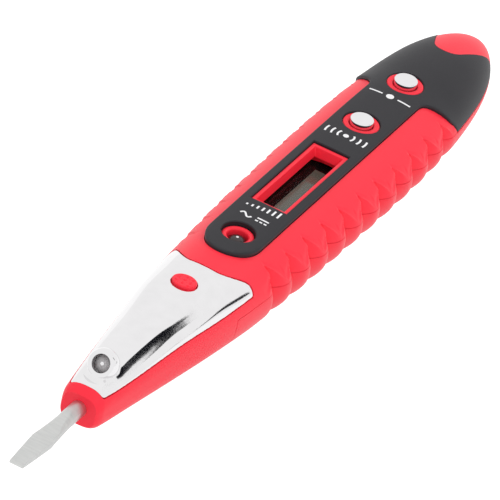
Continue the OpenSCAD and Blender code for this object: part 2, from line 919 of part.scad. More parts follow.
module lcd_glass() {
    color("#8f978f")
        block(lcd_at - window_l / 2, lcd_at + window_l / 2, window_w, glass_z, glass_z + glass_t);
}

module lcd_connectors() {
    color("#55555a")
        for (s = [-1, 1])
            translate([lcd_x - window_l / 2 + over, s * (window_w - strip_w) / 2 - strip_w / 2, board_top])
                cube([window_l - 2 * over, strip_w, glass_z - board_top]);
}

module main_board() {
    color(board_green)
        block(main_from, main_to, main_w, board_z, board_top);
}

module indicator_led() {
    color("#3a3a3a") {
        post(led_at, bulb_r, board_top, body_t - lamp_drop - bulb_r);
        translate([led_x, 0, body_t - lamp_drop - bulb_r])
            sphere(r = bulb_r);
        post(led_at, bulb_flange_r, board_top, board_top + lamp_flange_t);
    }
}

module touch_button(at) {
    color(silver) {
        post(at, cap_r, flange_z, body_t + cap_proud);
        post(at, flange_r, flange_z, pocket_z);
    }
}
module direct_button() {
    touch_button(direct_at);
}
module induction_button() {
    touch_button(induction_at);
}

module contact_pads() {
    color(gold)
        for (at = [induction_at, direct_at])
            post(at, pad_r, board_top, board_top + pad_t);
}

module driver_chip() {
    color("#26262a")
        block(lcd_at - chip_l / 2, lcd_at + chip_l / 2, chip_w, board_top, board_top + chip_t);
}

module board_parts() {
    color("#8a6f4d")
        for (p = board_part_sizes)
            translate([nose_x + p[0] - p[2] / 2, p[1] - p[3] / 2, board_top])
                cube([p[2], p[3], board_part_t]);
}

module battery_cell(i) {
    at = cell_mid_at + i * cell_step;
    color(steel) {
        post(at, cell_d / 2 - cell_rim, cell_z, tray_top - cell_rim);
        post(at, cell_d / 2, cell_z + cell_rim, tray_top - cell_rim);
        post(at, cell_d / 2 - cell_cap_inset, tray_top - cell_cap_h, tray_top);
    }
}
module battery_cell_1() {
    battery_cell(-1);
}
module battery_cell_2() {
    battery_cell(0);
}
module battery_cell_3() {
    battery_cell(1);
}

module cell_contacts() {
    color(gold)
        for (i = [-1 : 1]) {
            block(cell_mid_at + i * cell_step - contact_w / 2, cell_mid_at + i * cell_step + contact_w / 2,
                  contact_w, tray_top, tray_top + contact_t);
            block(cell_mid_at + i * cell_step - contact_leg / 2, cell_mid_at + i * cell_step + contact_leg / 2,
                  contact_w, tray_top, board_z);
        }
}

module door_contact() {
    color(gold)
        block(cell_mid_at - tray_l / 2 + door_ledge, cell_mid_at + tray_l / 2 - door_ledge, contact_w,
              door_t, door_t + contact_t);
}

upper_housing();
back_cover();
battery_door();
door_screw();
face_panel();
nose_cover();
probe_blade();
probe_spring();
series_resistor();
torch_led();
torch_board();
torch_switch();
torch_switch_stem();
torch_button();
lcd_window();
lcd_glass();
lcd_connectors();
main_board();
indicator_led();
direct_button();
induction_button();
direct_spring();
induction_spring();
contact_pads();
driver_chip();
board_parts();
battery_cell_1();
battery_cell_2();
battery_cell_3();
cell_contacts();
door_contact();
housing_screws();
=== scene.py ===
import bisect
import math

import bpy
from mathutils import Matrix, Vector


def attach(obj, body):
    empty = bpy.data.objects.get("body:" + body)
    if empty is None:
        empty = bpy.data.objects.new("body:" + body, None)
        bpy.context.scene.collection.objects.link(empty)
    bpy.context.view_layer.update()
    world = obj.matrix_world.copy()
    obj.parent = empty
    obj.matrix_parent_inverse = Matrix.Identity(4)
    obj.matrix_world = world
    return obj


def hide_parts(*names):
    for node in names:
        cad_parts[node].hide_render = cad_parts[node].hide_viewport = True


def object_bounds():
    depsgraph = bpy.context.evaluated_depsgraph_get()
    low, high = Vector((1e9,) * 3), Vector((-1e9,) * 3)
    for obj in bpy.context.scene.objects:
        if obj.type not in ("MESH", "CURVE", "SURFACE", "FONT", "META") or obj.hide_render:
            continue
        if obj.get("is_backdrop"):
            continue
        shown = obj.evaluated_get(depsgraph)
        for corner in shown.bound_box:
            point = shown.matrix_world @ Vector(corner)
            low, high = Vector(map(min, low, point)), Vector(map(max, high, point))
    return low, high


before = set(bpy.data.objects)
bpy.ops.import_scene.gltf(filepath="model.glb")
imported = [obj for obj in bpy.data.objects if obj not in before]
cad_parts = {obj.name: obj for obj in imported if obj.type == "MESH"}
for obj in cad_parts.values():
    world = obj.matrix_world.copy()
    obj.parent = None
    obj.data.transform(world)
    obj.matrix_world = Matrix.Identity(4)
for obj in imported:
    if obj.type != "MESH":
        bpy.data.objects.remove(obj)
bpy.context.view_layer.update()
bpy.ops.object.select_all(action="DESELECT")

# Camera.
# A long lens, level with the photograph: it looks down the pen from the blade's side.
# The three angles were fitted to the round wells, the display opening and the outline.
camera_at = (-0.91054, -0.35041, 0.65578)
camera_turn = math.radians(-68.903)
camera_rise = math.radians(33.621)
camera_roll = math.radians(13.279)
bpy.ops.object.camera_add()
camera = bpy.context.object
camera.name = "camera"
camera.data.lens = 576
camera.data.sensor_width = 36
back = Vector((math.sin(camera_turn) * math.cos(camera_rise),
               -math.cos(camera_turn) * math.cos(camera_rise), math.sin(camera_rise)))
level = Vector((math.cos(camera_turn), math.sin(camera_turn), 0))
upright = back.cross(level)
across = level * math.cos(camera_roll) + upright * math.sin(camera_roll)
upwards = upright * math.cos(camera_roll) - level * math.sin(camera_roll)
camera.matrix_world = Matrix.Translation(camera_at) @ Matrix((across, upwards, back)).transposed().to_4x4()
bpy.context.scene.camera = camera
bpy.context.scene.view_settings.view_transform = "Standard"

# Studio: a sheet of matt white board under the pen, and three soft lamps.
# The board and the room read as white paper, and only the board's shadow shows on it. The
# board lies 14 mm below the back, which leaves room for the battery door when it comes off.
MM = 0.001
floor_size, floor_drop = 6, 14
board_white, board_shade = "#e8e8e8", "#ededed"
board_lift, board_shadow, board_mirrored = 0.6, 0.35, 1.1
room_light = 0.78
lamps = [("key", (-500, -650, 900), 700, 4.6), ("fill", (300, 900, 700), 900, 2.0),
         ("tail", (900, -200, 600), 600, 1.4)]
# Dark cards that show only in the plating: azimuth and elevation of their corners, in degrees
card_distance, card_centre = 500, Vector((-0.025, -0.006, 0.012))
cards = {"card_low": ([(-54, 1.6), (-42, 4.6)], [(-54, 2.4), (-42, 9.5)]),
         "card_high": ([(-24, 54), (-32, 46), (-40, 39.5), (-44, 36.5), (-48, 31.5), (-51, 25.5)],
                       [(-27, 60), (-37, 55), (-44, 50), (-48, 43), (-51, 34), (-54, 25)])}


def linear(code):
    """Linear colour of an sRGB hex value."""
    parts = [int(code[i:i + 2], 16) / 255 for i in (1, 3, 5)]
    return [c / 12.92 if c <= 0.04045 else ((c + 0.055) / 1.055) ** 2.4 for c in parts] + [1]


def add(material, kind, inputs=None, **settings):
    """New node with its settings, its values and its links."""
    node = material.node_tree.nodes.new(kind)
    for name, value in settings.items():
        setattr(node, name, value)
    for name, value in (inputs or {}).items():
        if isinstance(value, bpy.types.NodeSocket):
            material.node_tree.links.new(value, node.inputs[name])
        else:
            node.inputs[name].default_value = value
    return node


def new_material(name):
    material = bpy.data.materials.new(name)
    material.use_nodes = True
    material.node_tree.nodes.clear()
    return material


def finish_material(material, shader):
    add(material, "ShaderNodeOutputMaterial", {"Surface": shader})
    return material


bpy.ops.mesh.primitive_plane_add(size=floor_size, location=(0, 0, -floor_drop * MM))
floor = bpy.context.object
floor.name = "floor_board"
board = new_material("matt white board")
grain = add(board, "ShaderNodeTexNoise", {"Scale": 900.0, "Detail": 2.0})
shade = add(board, "ShaderNodeMix", {
    "Factor": grain.outputs["Fac"], "A": linear(board_white), "B": linear(board_shade)},
    data_type="RGBA")
matt = add(board, "ShaderNodeBsdfDiffuse", {"Color": shade.outputs["Result"]})
lift = add(board, "ShaderNodeEmission", {"Color": linear("#ffffff"), "Strength": board_lift})
thinned = add(board, "ShaderNodeMixShader", {0: board_shadow, 1: lift.outputs[0], 2: matt.outputs[0]})
lifted = add(board, "ShaderNodeAddShader", {0: thinned.outputs[0], 1: lift.outputs[0]})
bright = add(board, "ShaderNodeEmission", {"Color": linear("#ffffff"), "Strength": board_mirrored})
path = add(board, "ShaderNodeLightPath")
seen = add(board, "ShaderNodeMixShader",
           {0: path.outputs["Is Camera Ray"], 1: matt.outputs[0], 2: lifted.outputs[0]})
seen = add(board, "ShaderNodeMixShader",
           {0: path.outputs["Is Glossy Ray"], 1: seen.outputs[0], 2: bright.outputs[0]})
finish_material(board, seen.outputs[0])
floor.data.materials.append(board)
floor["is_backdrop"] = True

world = bpy.data.worlds.new("white room")
bpy.context.scene.world = world
world.use_nodes = True
world.node_tree.nodes.clear()
path = add(world, "ShaderNodeLightPath")
either = add(world, "ShaderNodeMath",
             {0: path.outputs["Is Camera Ray"], 1: path.outputs["Is Glossy Ray"]}, operation="MAXIMUM")
either = add(world, "ShaderNodeMath",
             {0: either.outputs[0], 1: path.outputs["Is Transmission Ray"]}, operation="MAXIMUM")
strength = add(world, "ShaderNodeMapRange",
               {"Value": either.outputs[0], "To Min": room_light, "To Max": 1.0})
sky = add(world, "ShaderNodeBackground",
          {"Color": linear("#ffffff"), "Strength": strength.outputs["Result"]})
add(world, "ShaderNodeOutputWorld", {"Surface": sky.outputs[0]})

for lamp_name, lamp_place, lamp_width, lamp_power in lamps:
    bpy.ops.object.light_add(type="AREA", location=[c * MM for c in lamp_place])
    lamp = bpy.context.object
    lamp.name = "lamp_" + lamp_name
    lamp.data.size = lamp_width * MM
    lamp.data.energy = lamp_power
    lamp.visible_glossy = False
    lamp.rotation_euler = Vector(lamp_place).to_track_quat("Z", "Y").to_euler()

felt = new_material("black felt")
nap = add(felt, "ShaderNodeTexNoise", {"Scale": 300.0, "Detail": 3.0})
shade = add(felt, "ShaderNodeMix", {
    "Factor": nap.outputs["Fac"], "A": linear("#0a0a0c"), "B": linear("#24252b")}, data_type="RGBA")
finish_material(felt, add(felt, "ShaderNodeEmission", {"Color": shade.outputs["Result"]}).outputs[0])
for card_name, rows in cards.items():
    bpy.ops.mesh.primitive_grid_add(x_subdivisions=len(rows[0]) - 1, y_subdivisions=1, size=1)
    card = bpy.context.object
    card.name = card_name
    for vertex, (turn, rise) in zip(card.data.vertices, rows[0] + rows[1]):
        turn, rise = math.radians(turn), math.radians(rise)
        vertex.co = card_centre + card_distance * MM * Vector(
            (math.cos(turn) * math.cos(rise), math.sin(turn) * math.cos(rise), math.sin(rise)))
    card.visible_camera = card.visible_diffuse = card.visible_shadow = card.visible_transmission = False
    card.data.materials.append(felt)
    card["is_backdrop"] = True

# Upper housing.
# One red ABS moulding: the closed nose with the shank's bore, the upper grips with their
# scooped grooves and the tongue at the tail. Panel and nose cover are let into its face.
body_length = 124.8
nose_x = -53.4
half_width, thickness = 9.6, 15.0
wall, panel_t = 1.4, 1.5
part_z = 8.8
seam_at = 33.6
# Stations: place along the body, then half width, heights of the widest line, of the bottom
# and of the top, as shares of the length, the half width and the thickness
stations = [
    (0, 0.29, 0.48, 0.313, 0.64), (0.004, 0.323, 0.48, 0.293, 0.673), (0.0111, 0.354, 0.48, 0.28, 0.713),
    (0.0757, 0.464, 0.487, 0.25, 0.8), (0.1554, 0.589, 0.493, 0.2, 0.893),
    (0.2204, 0.706, 0.5, 0.167, 0.963), (0.2756, 0.79, 0.507, 0.115, 0.967),
    (0.3321, 0.852, 0.52, 0.03, 0.975), (0.4119, 0.927, 0.533, -0.02, 1), (0.508, 0.969, 0.54, -0.02, 1),
    (0.6362, 1, 0.547, -0.02, 1), (0.7372, 0.99, 0.547, -0.02, 1), (0.8093, 0.938, 0.547, 0, 1),
    (0.8606, 0.868, 0.547, 0.047, 0.994), (0.9022, 0.778, 0.547, 0.113, 0.97),
    (0.9407, 0.64, 0.54, 0.207, 0.914), (0.9671, 0.488, 0.54, 0.307, 0.843),
    (0.9864, 0.33, 0.545, 0.4, 0.757), (0.996, 0.182, 0.56, 0.473, 0.677), (1, 0.05, 0.575, 0.53, 0.62)]
last_station = len(stations) - 1
nose_fullness, nose_base_fullness = 2.75, 3.4
grip_fullness, grip_base_fullness = 1.85, 2
tail_fullness, panel_fullness = 2.1, 3
nose_from_share, nose_end_share, tail_from_share = 0.12, 0.42, 0.78
strip_from_share, strip_end_share, strip_tail_fullness = 0.68, 0.82, 2.15


def ease(t):
    t = max(0, min(1, t))
    return t * t * (3 - 2 * t)


def station_slope(k, c):
    a, b = stations[max(0, k - 1)], stations[min(last_station, k + 1)]
    return (b[c] - a[c]) / (b[0] - a[0])


def form_share(share, c):
    """One of a section's shares, on a smooth curve through the stations."""
    k = max(0, min(last_station - 1, bisect.bisect_right(stations, (share, 9)) - 1))
    a, b = stations[k], stations[k + 1]
    run = b[0] - a[0]
    t = max(0, min(1, (share - a[0]) / run))
    return (a[c] * (1 - ease(t)) + b[c] * ease(t) + station_slope(k, c) * run * t * (1 - t) ** 2
            - station_slope(k + 1, c) * run * t * t * (1 - t))


def outline_at(at, strip=False):
    """Half width, widest line, bottom, top and the two fullnesses of a section, in mm."""
    share = at / body_length
    near_nose = 1 - ease((share - nose_from_share) / (nose_end_share - nose_from_share))
    near_tail = ease((share - tail_from_share) / (1 - tail_from_share))
    high = form_share(share, 4) * thickness
    full = (grip_fullness + (nose_fullness - grip_fullness) * near_nose
            + (tail_fullness - grip_fullness) * near_tail)
    if strip:
        high = thickness if share < tail_from_share else high
        settled = ease((share - strip_from_share) / (strip_end_share - strip_from_share))
        full = panel_fullness + (strip_tail_fullness - panel_fullness) * settled
    base_full = grip_base_fullness + (nose_base_fullness - grip_base_fullness) * near_nose
    return (form_share(share, 1) * half_width, form_share(share, 2) * thickness,
            form_share(share, 3) * thickness, high, full, base_full)


def section_point(at, angle, side=0.0, top=0.0, base=0.0):
    """Point of the outer form in mm; the insets move its side, top and bottom inwards."""
    half, middle, low, high, full, base_full = outline_at(at)
    n = full if math.sin(angle) >= 0 else base_full
    reach = high - top - middle if math.sin(angle) >= 0 else middle - low - base
    y = (half - side) * math.copysign(abs(math.cos(angle)) ** (2 / n), math.cos(angle))
    z = middle + reach * math.copysign(abs(math.sin(angle)) ** (2 / n), math.sin(angle))
    return [nose_x + at, y, z]


def part_angle(at):
    """Angle at which a section crosses the parting line."""
    half, middle, low, high, full, base_full = outline_at(at)
    rise = max(0.0001, (part_z - middle) / (high - middle))
    return math.asin(min(1, rise ** (full / 2)))


def only(piece):
    bpy.ops.object.select_all(action="DESELECT")
    piece.select_set(True)
    bpy.context.view_layer.objects.active = piece


def edit(piece):
    only(piece)
    bpy.ops.object.mode_set(mode="EDIT")


def face_outwards():
    """Points all faces outwards and leaves edit mode."""
    bpy.ops.mesh.select_all(action="SELECT")
    bpy.ops.mesh.normals_make_consistent(inside=False)
    bpy.ops.object.mode_set(mode="OBJECT")


def skin(name, rows):
    """Sheet through rows of points, made from a grid whose vertices are moved onto the form."""
    bpy.ops.mesh.primitive_grid_add(x_subdivisions=len(rows[0]) - 1, y_subdivisions=len(rows) - 1,
                                    size=1)
    sheet = bpy.context.object
    sheet.name = name
    points = [p for row in rows for p in row]
    for vertex, point in zip(sheet.data.vertices, points):
        vertex.co = [c * MM for c in point]
    return sheet


def weld(piece, others=(), gap=0.0005):
    """Joins sheets at their shared edges, closes what is open and points the faces outwards."""
    only(piece)
    for other in others:
        other.select_set(True)
    if others:
        bpy.ops.object.join()
    bpy.ops.object.mode_set(mode="EDIT")
    bpy.ops.mesh.select_mode(type="VERT")
    bpy.ops.mesh.select_all(action="SELECT")
    bpy.ops.mesh.remove_doubles(threshold=gap * MM)
    bpy.ops.mesh.select_all(action="DESELECT")
    bpy.ops.mesh.select_non_manifold()
    bpy.ops.mesh.fill_holes(sides=0)
    face_outwards()
    return piece


def use(piece, kind, **settings):
    """Adds a modifier and applies it."""
    only(piece)
    bpy.ops.object.modifier_add(type=kind)
    modifier = piece.modifiers[-1]
    for name, value in settings.items():
        setattr(modifier, name, value)
    bpy.ops.object.modifier_apply(modifier=modifier.name)


def carve(piece, tool, operation="DIFFERENCE"):
    """Cuts a piece with a tool, or joins them, and removes the tool."""
    use(piece, "BOOLEAN", operation=operation, solver="EXACT", object=tool)
    bpy.data.objects.remove(tool)


def smooth_faces(piece, angle=32, weighted=True):
    only(piece)
    bpy.ops.object.shade_smooth_by_angle(angle=math.radians(angle))
    if weighted:
        use(piece, "WEIGHTED_NORMAL", keep_sharp=True, weight=60)


def settle(piece, body, material, *nodes, slot=None):
    """Gives a finished piece its body, its material and the CAD nodes that it stands for."""
    only(piece)
    bpy.ops.object.transform_apply()
    piece.data.materials.clear()
    piece.data.materials.append(material)
    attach(piece, body)
    if nodes:
        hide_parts(*nodes)
    return piece


# Grooves: a valley between two round lobes. It slants to the tail on its way down, fades out
# above and below, and has a fine raised bead round its upper end.
groove_count, groove_pitch, groove_depth, groove_start = 11, 5.3, 1.25, 43.2
groove_z, groove_top_z, groove_nose_top_z, groove_base_z = 7.5, 12.9, 11.8, 0.6
groove_top_fall, groove_fade, groove_soft, groove_middle = 0.9, 5, 0.05, 3
groove_bead, groove_bead_reach, groove_bead_from, groove_bead_over = 0.12, 0.3, 0.35, 0.25
groove_lean, groove_lean_z, groove_lean_end = 0.37, 12.5, 113
part_gap = 0.016
groove_from = groove_start - groove_pitch / 2
groove_to = groove_start + (groove_count - 0.5) * groove_pitch


def grooved(point, at):
    """Moves a point of the side inwards where a groove passes."""
    z = point[2]
    reach = groove_z - groove_base_z
    if z > groove_z:
        fall = groove_top_fall * (at - groove_from) / (groove_to - groove_from)
        reach = groove_top_z - groove_z - fall
    t = (at - groove_start) / groove_pitch
    if z > groove_z and t < round(t):
        reach *= (groove_nose_top_z - groove_z) / (groove_top_z - groove_z)
    u = 1 - 2 * abs(t - round(t))
    rise = groove_depth * (1 - u * u)
    outside = max(0, groove_from - at, at - groove_to)
    if outside:
        rise = groove_depth + outside
    share = (z - groove_z) / reach
    cut = groove_depth * (1 - abs(share) ** groove_fade) - rise
    bead = (groove_bead * math.exp(-(cut / groove_bead_reach) ** 2)
            * ease((share - groove_bead_from) / groove_bead_over))
    cut = (cut + math.sqrt(cut * cut + groove_soft * groove_soft)) / 2 - bead
    side = ease(abs(point[1]) / groove_middle)
    return [point[0], point[1] - math.copysign(cut * side, point[1]), max(0, z)]


def leaned(at, z):
    """Place along the body of a ring's point: the lower it lies, the nearer to the tail."""
    share = ease(min((at - seam_at) / (groove_from - seam_at),
                     (groove_lean_end - at) / (groove_lean_end - groove_to)))
    return at + groove_lean * max(0, groove_lean_z - z) * share


def steps(start, end, size):
    """Places from a start to just short of an end, about a size apart."""
    count = max(1, round((end - start) / size))
    return [start + (end - start) * i / count for i in range(count)]


# Places of the rings, closer where the form turns fast, and points of a ring
edge_end, nose_round_end, tail_turn, tail_edge = 1.4, 3, 118, 123.5
nose_places = (steps(0, edge_end, 0.1) + steps(edge_end, nose_round_end, 0.4)
               + steps(nose_round_end, seam_at, 1.0) + [seam_at])
grip_places = ([seam_at] + steps(seam_at + 0.4, groove_from, 0.4)
               + steps(groove_from, groove_to, groove_pitch / 32) + steps(groove_to, tail_turn, 0.6)
               + steps(tail_turn, tail_edge, 0.3) + steps(tail_edge, body_length, 0.1) + [body_length])
arc_steps, under_steps, hollow_steps = 88, 64, 64
hollow_from, hollow_to, hollow_step = 19.4, 120.7, 2.0


def arc_row(at, count, angle_of):
    """Points of a ring from one parting line to the other."""
    row = []
    for i in range(count + 1):
        to = leaned(at, section_point(at, angle_of(at, i / count))[2])
        row.append(grooved(section_point(to, angle_of(to, i / count)), at))
    return row


def upper_arc(at):
    return arc_row(at, arc_steps,
                   lambda to, share: part_angle(to) * (1 - 2 * share) + math.pi * share)


def lower_arc(at, gap=0.0):
    return arc_row(at, under_steps,
                   lambda to, share: (part_angle(to) - gap) * (2 * share - 1) + math.pi * (share - 1))


def hollow():
    """The room inside both shells, under the panel's floor."""
    rows = []
    for at in steps(hollow_from, hollow_to, hollow_step) + [hollow_to]:
        rows.append([section_point(at, 2 * math.pi * i / hollow_steps, wall, panel_t + wall, wall)
                     for i in range(hollow_steps + 1)])
    return weld(skin("hollow", rows))


def rod(name, start, end, radius, sides=64):
    """Cylinder between two points in mm."""
    start, end = Vector(start), Vector(end)
    leaning = (end - start).xy.length > 0
    turn = (end - start).to_track_quat("Z", "Y").to_euler() if leaning else (0, 0, 0)
    bpy.ops.mesh.primitive_cylinder_add(vertices=sides, radius=radius * MM, rotation=turn,
                                        depth=(end - start).length * MM,
                                        location=(start + end) / 2 * MM)
    made = bpy.context.object
    made.name = name
    return made


def post(name, at, low, high, radius, sides=64, y=0):
    """Upright cylinder at a place along the body, in mm."""
    return rod(name, (nose_x + at, y, low), (nose_x + at, y, high), radius, sides)


def ball(place, radius, segments):
    """Sphere at a place in mm."""
    bpy.ops.mesh.primitive_uv_sphere_add(segments=segments, ring_count=segments // 2,
                                         radius=radius * MM, location=[c * MM for c in place])
    return bpy.context.object


def block(name, low, high):
    """Box between two corners in mm."""
    bpy.ops.mesh.primitive_cube_add(size=1, location=[(a + b) / 2 * MM for a, b in zip(low, high)])
    made = bpy.context.object
    made.name = name
    made.scale = [(b - a) * MM for a, b in zip(low, high)]
    bpy.ops.object.transform_apply()
    return made


# Girth: distance across the outer face from its middle line. A piece that is let into the face
# is cut out as a flat plate on length and girth, and is then laid on the form.
girth_steps = 120
girths = {}


def girth_table(at, strip):
    key = (round(at, 3), strip)
    if key not in girths:
        half, middle, low, high, full, base_full = outline_at(at, strip)
        table, run = [], 0.0
        for i in range(girth_steps + 1):
            angle = math.pi / 2 * (1 - i / girth_steps)
            y = half * abs(math.cos(angle)) ** (2 / full) if i else 0
            z = middle + (high - middle) * abs(math.sin(angle)) ** (2 / full) if i < girth_steps else middle
            if table:
                run += math.hypot(y - table[-1][1], z - table[-1][2])
            table.append((run, y, z))
        normals = []
        for i in range(girth_steps + 1):
            a, b = table[max(0, i - 1)], table[min(girth_steps, i + 1)]
            dy, dz = b[1] - a[1], b[2] - a[2]
            length = math.hypot(dy, dz) or 1
            normals.append((-dz / length, dy / length))
        normals[0] = (0, 1)
        girths[key] = ([row[0] for row in table], table, normals)
    return girths[key]


def between(values, value):
    """Place of a value in a rising list: index of the lower end and the share of the step."""
    i = max(0, min(len(values) - 2, bisect.bisect_right(values, value) - 1))
    step = values[i + 1] - values[i]
    return i, (value - values[i]) / step if step else 0


def on_face(at, girth, height, strip):
    """Point in mm at a place and a girth, at a height over the outer face."""
    runs, table, normals = girth_table(min(max(at, 0), body_length), strip)
    i, t = between(runs, abs(girth))
    ends = zip(table[i][1:] + normals[i], table[i + 1][1:] + normals[i + 1])
    y, z, ny, nz = (a + (b - a) * t for a, b in ends)
    return [nose_x + at, math.copysign(y + ny * height, girth), z + nz * height]


def girth_at(at, value, strip, column=1):
    """Girth at which a section is so wide, or with column 2 so high."""
    runs, table, normals = girth_table(at, strip)
    sign = 1 if column == 1 else -1
    i, t = between([sign * row[column] for row in table], sign * value)
    return runs[i] + (runs[i + 1] - runs[i]) * t


def plate(name, outline, low, high):
    """Flat plate on length and girth, in mm, from an outline given once round."""
    bpy.ops.mesh.primitive_circle_add(vertices=len(outline), fill_type="NGON")
    made = bpy.context.object
    made.name = name
    for vertex, point in zip(made.data.vertices, outline):
        vertex.co = (point[0], point[1], low)
    edit(made)
    bpy.ops.mesh.select_all(action="SELECT")
    bpy.ops.mesh.extrude_region_move(TRANSFORM_OT_translate={"value": (0, 0, high - low)})
    face_outwards()
    return made


def grown(outline, gap):
    """Outline moved outwards by a gap."""
    before, after = outline[-1:] + outline[:-1], outline[1:] + outline[:1]
    area = sum(a[0] * b[1] - b[0] * a[1] for a, b in zip(outline, after))
    turn = 1 if area > 0 else -1
    made = []
    for a, (at, girth), b in zip(before, outline, after):
        dx, dy = b[0] - a[0], b[1] - a[1]
        length = math.hypot(dx, dy) or 1
        made.append((at + turn * dy / length * gap, girth - turn * dx / length * gap))
    return made


def select(piece, test):
    """Enters edit mode with the faces that pass a test of their points and normal."""
    bpy.context.tool_settings.mesh_select_mode = (False, False, True)
    mesh = piece.data
    for item in list(mesh.vertices) + list(mesh.edges):
        item.select = False
    for face in mesh.polygons:
        face.select = test([mesh.vertices[v].co for v in face.vertices], face.normal)
    edit(piece)


def lay(piece, strip, length_step, girth_step):
    """Divides a flat plate finely and lays it on the form."""
    spans = [(min(places), max(places)) for places in zip(*(v.co for v in piece.data.vertices))]
    edit(piece)
    for axis, step in ((0, length_step), (1, girth_step)):
        low, high = spans[axis]
        count = int((high - low) / step)
        for i in range(1, count):
            place, normal = [0, 0, 0], [0, 0, 0]
            place[axis] = low + (high - low) * i / count
            normal[axis] = 1
            bpy.ops.mesh.select_all(action="SELECT")
            bpy.ops.mesh.bisect(plane_co=place, plane_no=normal)
    bpy.ops.mesh.select_all(action="SELECT")
    bpy.ops.mesh.remove_doubles(threshold=0.0005)
    bpy.ops.object.mode_set(mode="OBJECT")
    for vertex in piece.data.vertices:
        vertex.co = [c * MM for c in on_face(vertex.co.x, vertex.co.y, vertex.co.z, strip)]
    edit(piece)
    face_outwards()
    return piece


# Outline of the black panel on length and girth
panel_from, panel_half, panel_end, panel_round_steps = 38.9, 4.45, 5.6, 24
panel_straight_to, panel_tail_end = 94, 122.6
# Edge of the red tongue, seen from above: place and half width
tongue = [(111.2, 0), (111.25, 0.5), (111.4, 1.0), (111.7, 1.5), (112.2, 1.95), (112.8, 2.3),
          (113.6, 2.6), (114.7, 3.02), (115.8, 3.4), (117, 3.76), (118, 4.02), (119, 4.24),
          (120, 4.45), (121, 4.9), (126, 8)]
# The same for the panel's shoulder, where it widens into the tail
shoulder = [(94.6, 4.45), (95.5, 4.6), (96.2, 5.0), (96.8, 5.6), (97.5, 6.5), (98.3, 7.45),
            (99.2, 8.3)]
shoulder_end = 101.2


def panel_outline():
    half = []
    for i in range(panel_round_steps + 1):
        angle = math.pi / 2 * i / panel_round_steps
        half.append((panel_from + panel_end * (1 - math.cos(angle)), panel_half * math.sin(angle)))
    half += [(at, panel_half) for at in steps(panel_from + panel_end + 1, panel_straight_to, 1.0)]
    half = [(at, girth_at(at, y, True)) for at, y in half + shoulder]
    last = half[-1]
    low = (shoulder_end, girth_at(shoulder_end, part_z, True, 2))
    half += [(last[0] + (low[0] - last[0]) * (1 - (1 - t) ** 1.3), last[1] + (low[1] - last[1]) * t)
             for t in (0.25, 0.5, 0.75)]
    half.append(low)
    half += [(at, girth_at(at, part_z, True, 2))
             for at in steps(shoulder_end + 0.6, panel_tail_end, 0.6) + [panel_tail_end]]
    half.append((panel_tail_end, 0))
    return half + [(at, -girth) for at, girth in reversed(half[1:-1])]


def mirrored(half):
    return [(at, y) for at, y in half] + [(at, -y) for at, y in reversed(half) if y > 0]


def prism(outline, low, high):
    """Upright block over a plan outline, in mm from the nose."""
    made = plate("prism", outline, low, high)
    made.scale = (MM, MM, MM)
    made.location.x = nose_x * MM
    bpy.ops.object.transform_apply()
    return made


# Outline of the nose cover on length and girth
cover_t = 0.8
cover_from, cover_rear, cover_from_z, cover_rear_z = 1.3, 37.6, 9.7, 10.6
cover_corner, cover_corner_back, cover_side_to, cover_front_round = 38.1, 0.9, 36.6, 0.3
# Rear edge of the cover: place and girth, from the middle line round the corner
cover_rear_edge = [(34.4, 0), (34.4, 0.9), (34.42, 1.7), (34.58, 2.6), (35.0, 3.4), (35.6, 4.15),
                   (36.3, 4.9), (37.0, 5.6), (37.6, 6.2), (38.0, 6.8), (38.2, 7.4), (38.22, 8.0),
                   (38.1, 8.5), (37.8, 8.85)]


def cover_edge_z(at):
    """Height of the cover's long edge: it climbs from the nose and then runs level."""
    climb = ease((at - cover_from) / (cover_rear - cover_from) * 1.5)
    return cover_from_z + (cover_rear_z - cover_from_z) * climb


def cover_outline():
    corner = cover_corner - cover_corner_back
    half = cover_rear_edge + [(corner, girth_at(corner, cover_edge_z(cover_corner), False, 2))]
    half += [(at, girth_at(at, cover_edge_z(at), False, 2))
             for at in reversed(steps(cover_from + cover_front_round, cover_side_to, 0.8))]
    front = girth_at(cover_from, cover_edge_z(cover_from), False, 2)
    half += [(cover_from, front - cover_front_round)]
    half += [(cover_from, front * t) for t in (0.7, 0.4, 0)]
    return half + [(at, -girth) for at, girth in reversed(half[1:-1])]


def laid_tool(outline, low, high, strip):
    return lay(plate("tool", outline, low, high), strip, 1.0, 1.0)


def finish(name, shades, cloud, fine=None, dull=None, bump=None, surface=None):
    """Material with a cloud of two shades and a finer grain, each by its size in mm and detail.

    dull is the range of roughness that the grain gives. bump is the pattern that stands up, 0
    for the cloud and 1 for the grain, its strength and its height in mm. A size of three
    numbers draws a pattern out along an axis.
    """
    material = new_material(name)
    patterns = []
    for size, detail in ([cloud, fine] if fine else [cloud]):
        place, scale = add(material, "ShaderNodeTexCoord").outputs["Object"], 1.0
        if isinstance(size, tuple):
            place = add(material, "ShaderNodeMapping",
                        {"Vector": place, "Scale": [1 / (s * MM) for s in size]}).outputs[0]
        else:
            scale = 1 / (size * MM)
        patterns.append(add(material, "ShaderNodeTexNoise", {
            "Vector": place, "Scale": scale, "Detail": detail}).outputs["Fac"])
    inputs = dict(surface or {})
    inputs["Base Color"] = add(material, "ShaderNodeMix", {
        "Factor": patterns[0], "A": linear(shades[0]), "B": linear(shades[1])},
        data_type="RGBA").outputs["Result"]
    if dull:
        inputs["Roughness"] = add(material, "ShaderNodeMapRange", {
            "Value": patterns[-1], "To Min": dull[0], "To Max": dull[1]}).outputs["Result"]
    if bump:
        inputs["Normal"] = add(material, "ShaderNodeBump", {
            "Height": patterns[bump[0]], "Strength": bump[1],
            "Distance": bump[2] * MM}).outputs["Normal"]
    return finish_material(material, add(material, "ShaderNodeBsdfPrincipled", inputs).outputs[0])


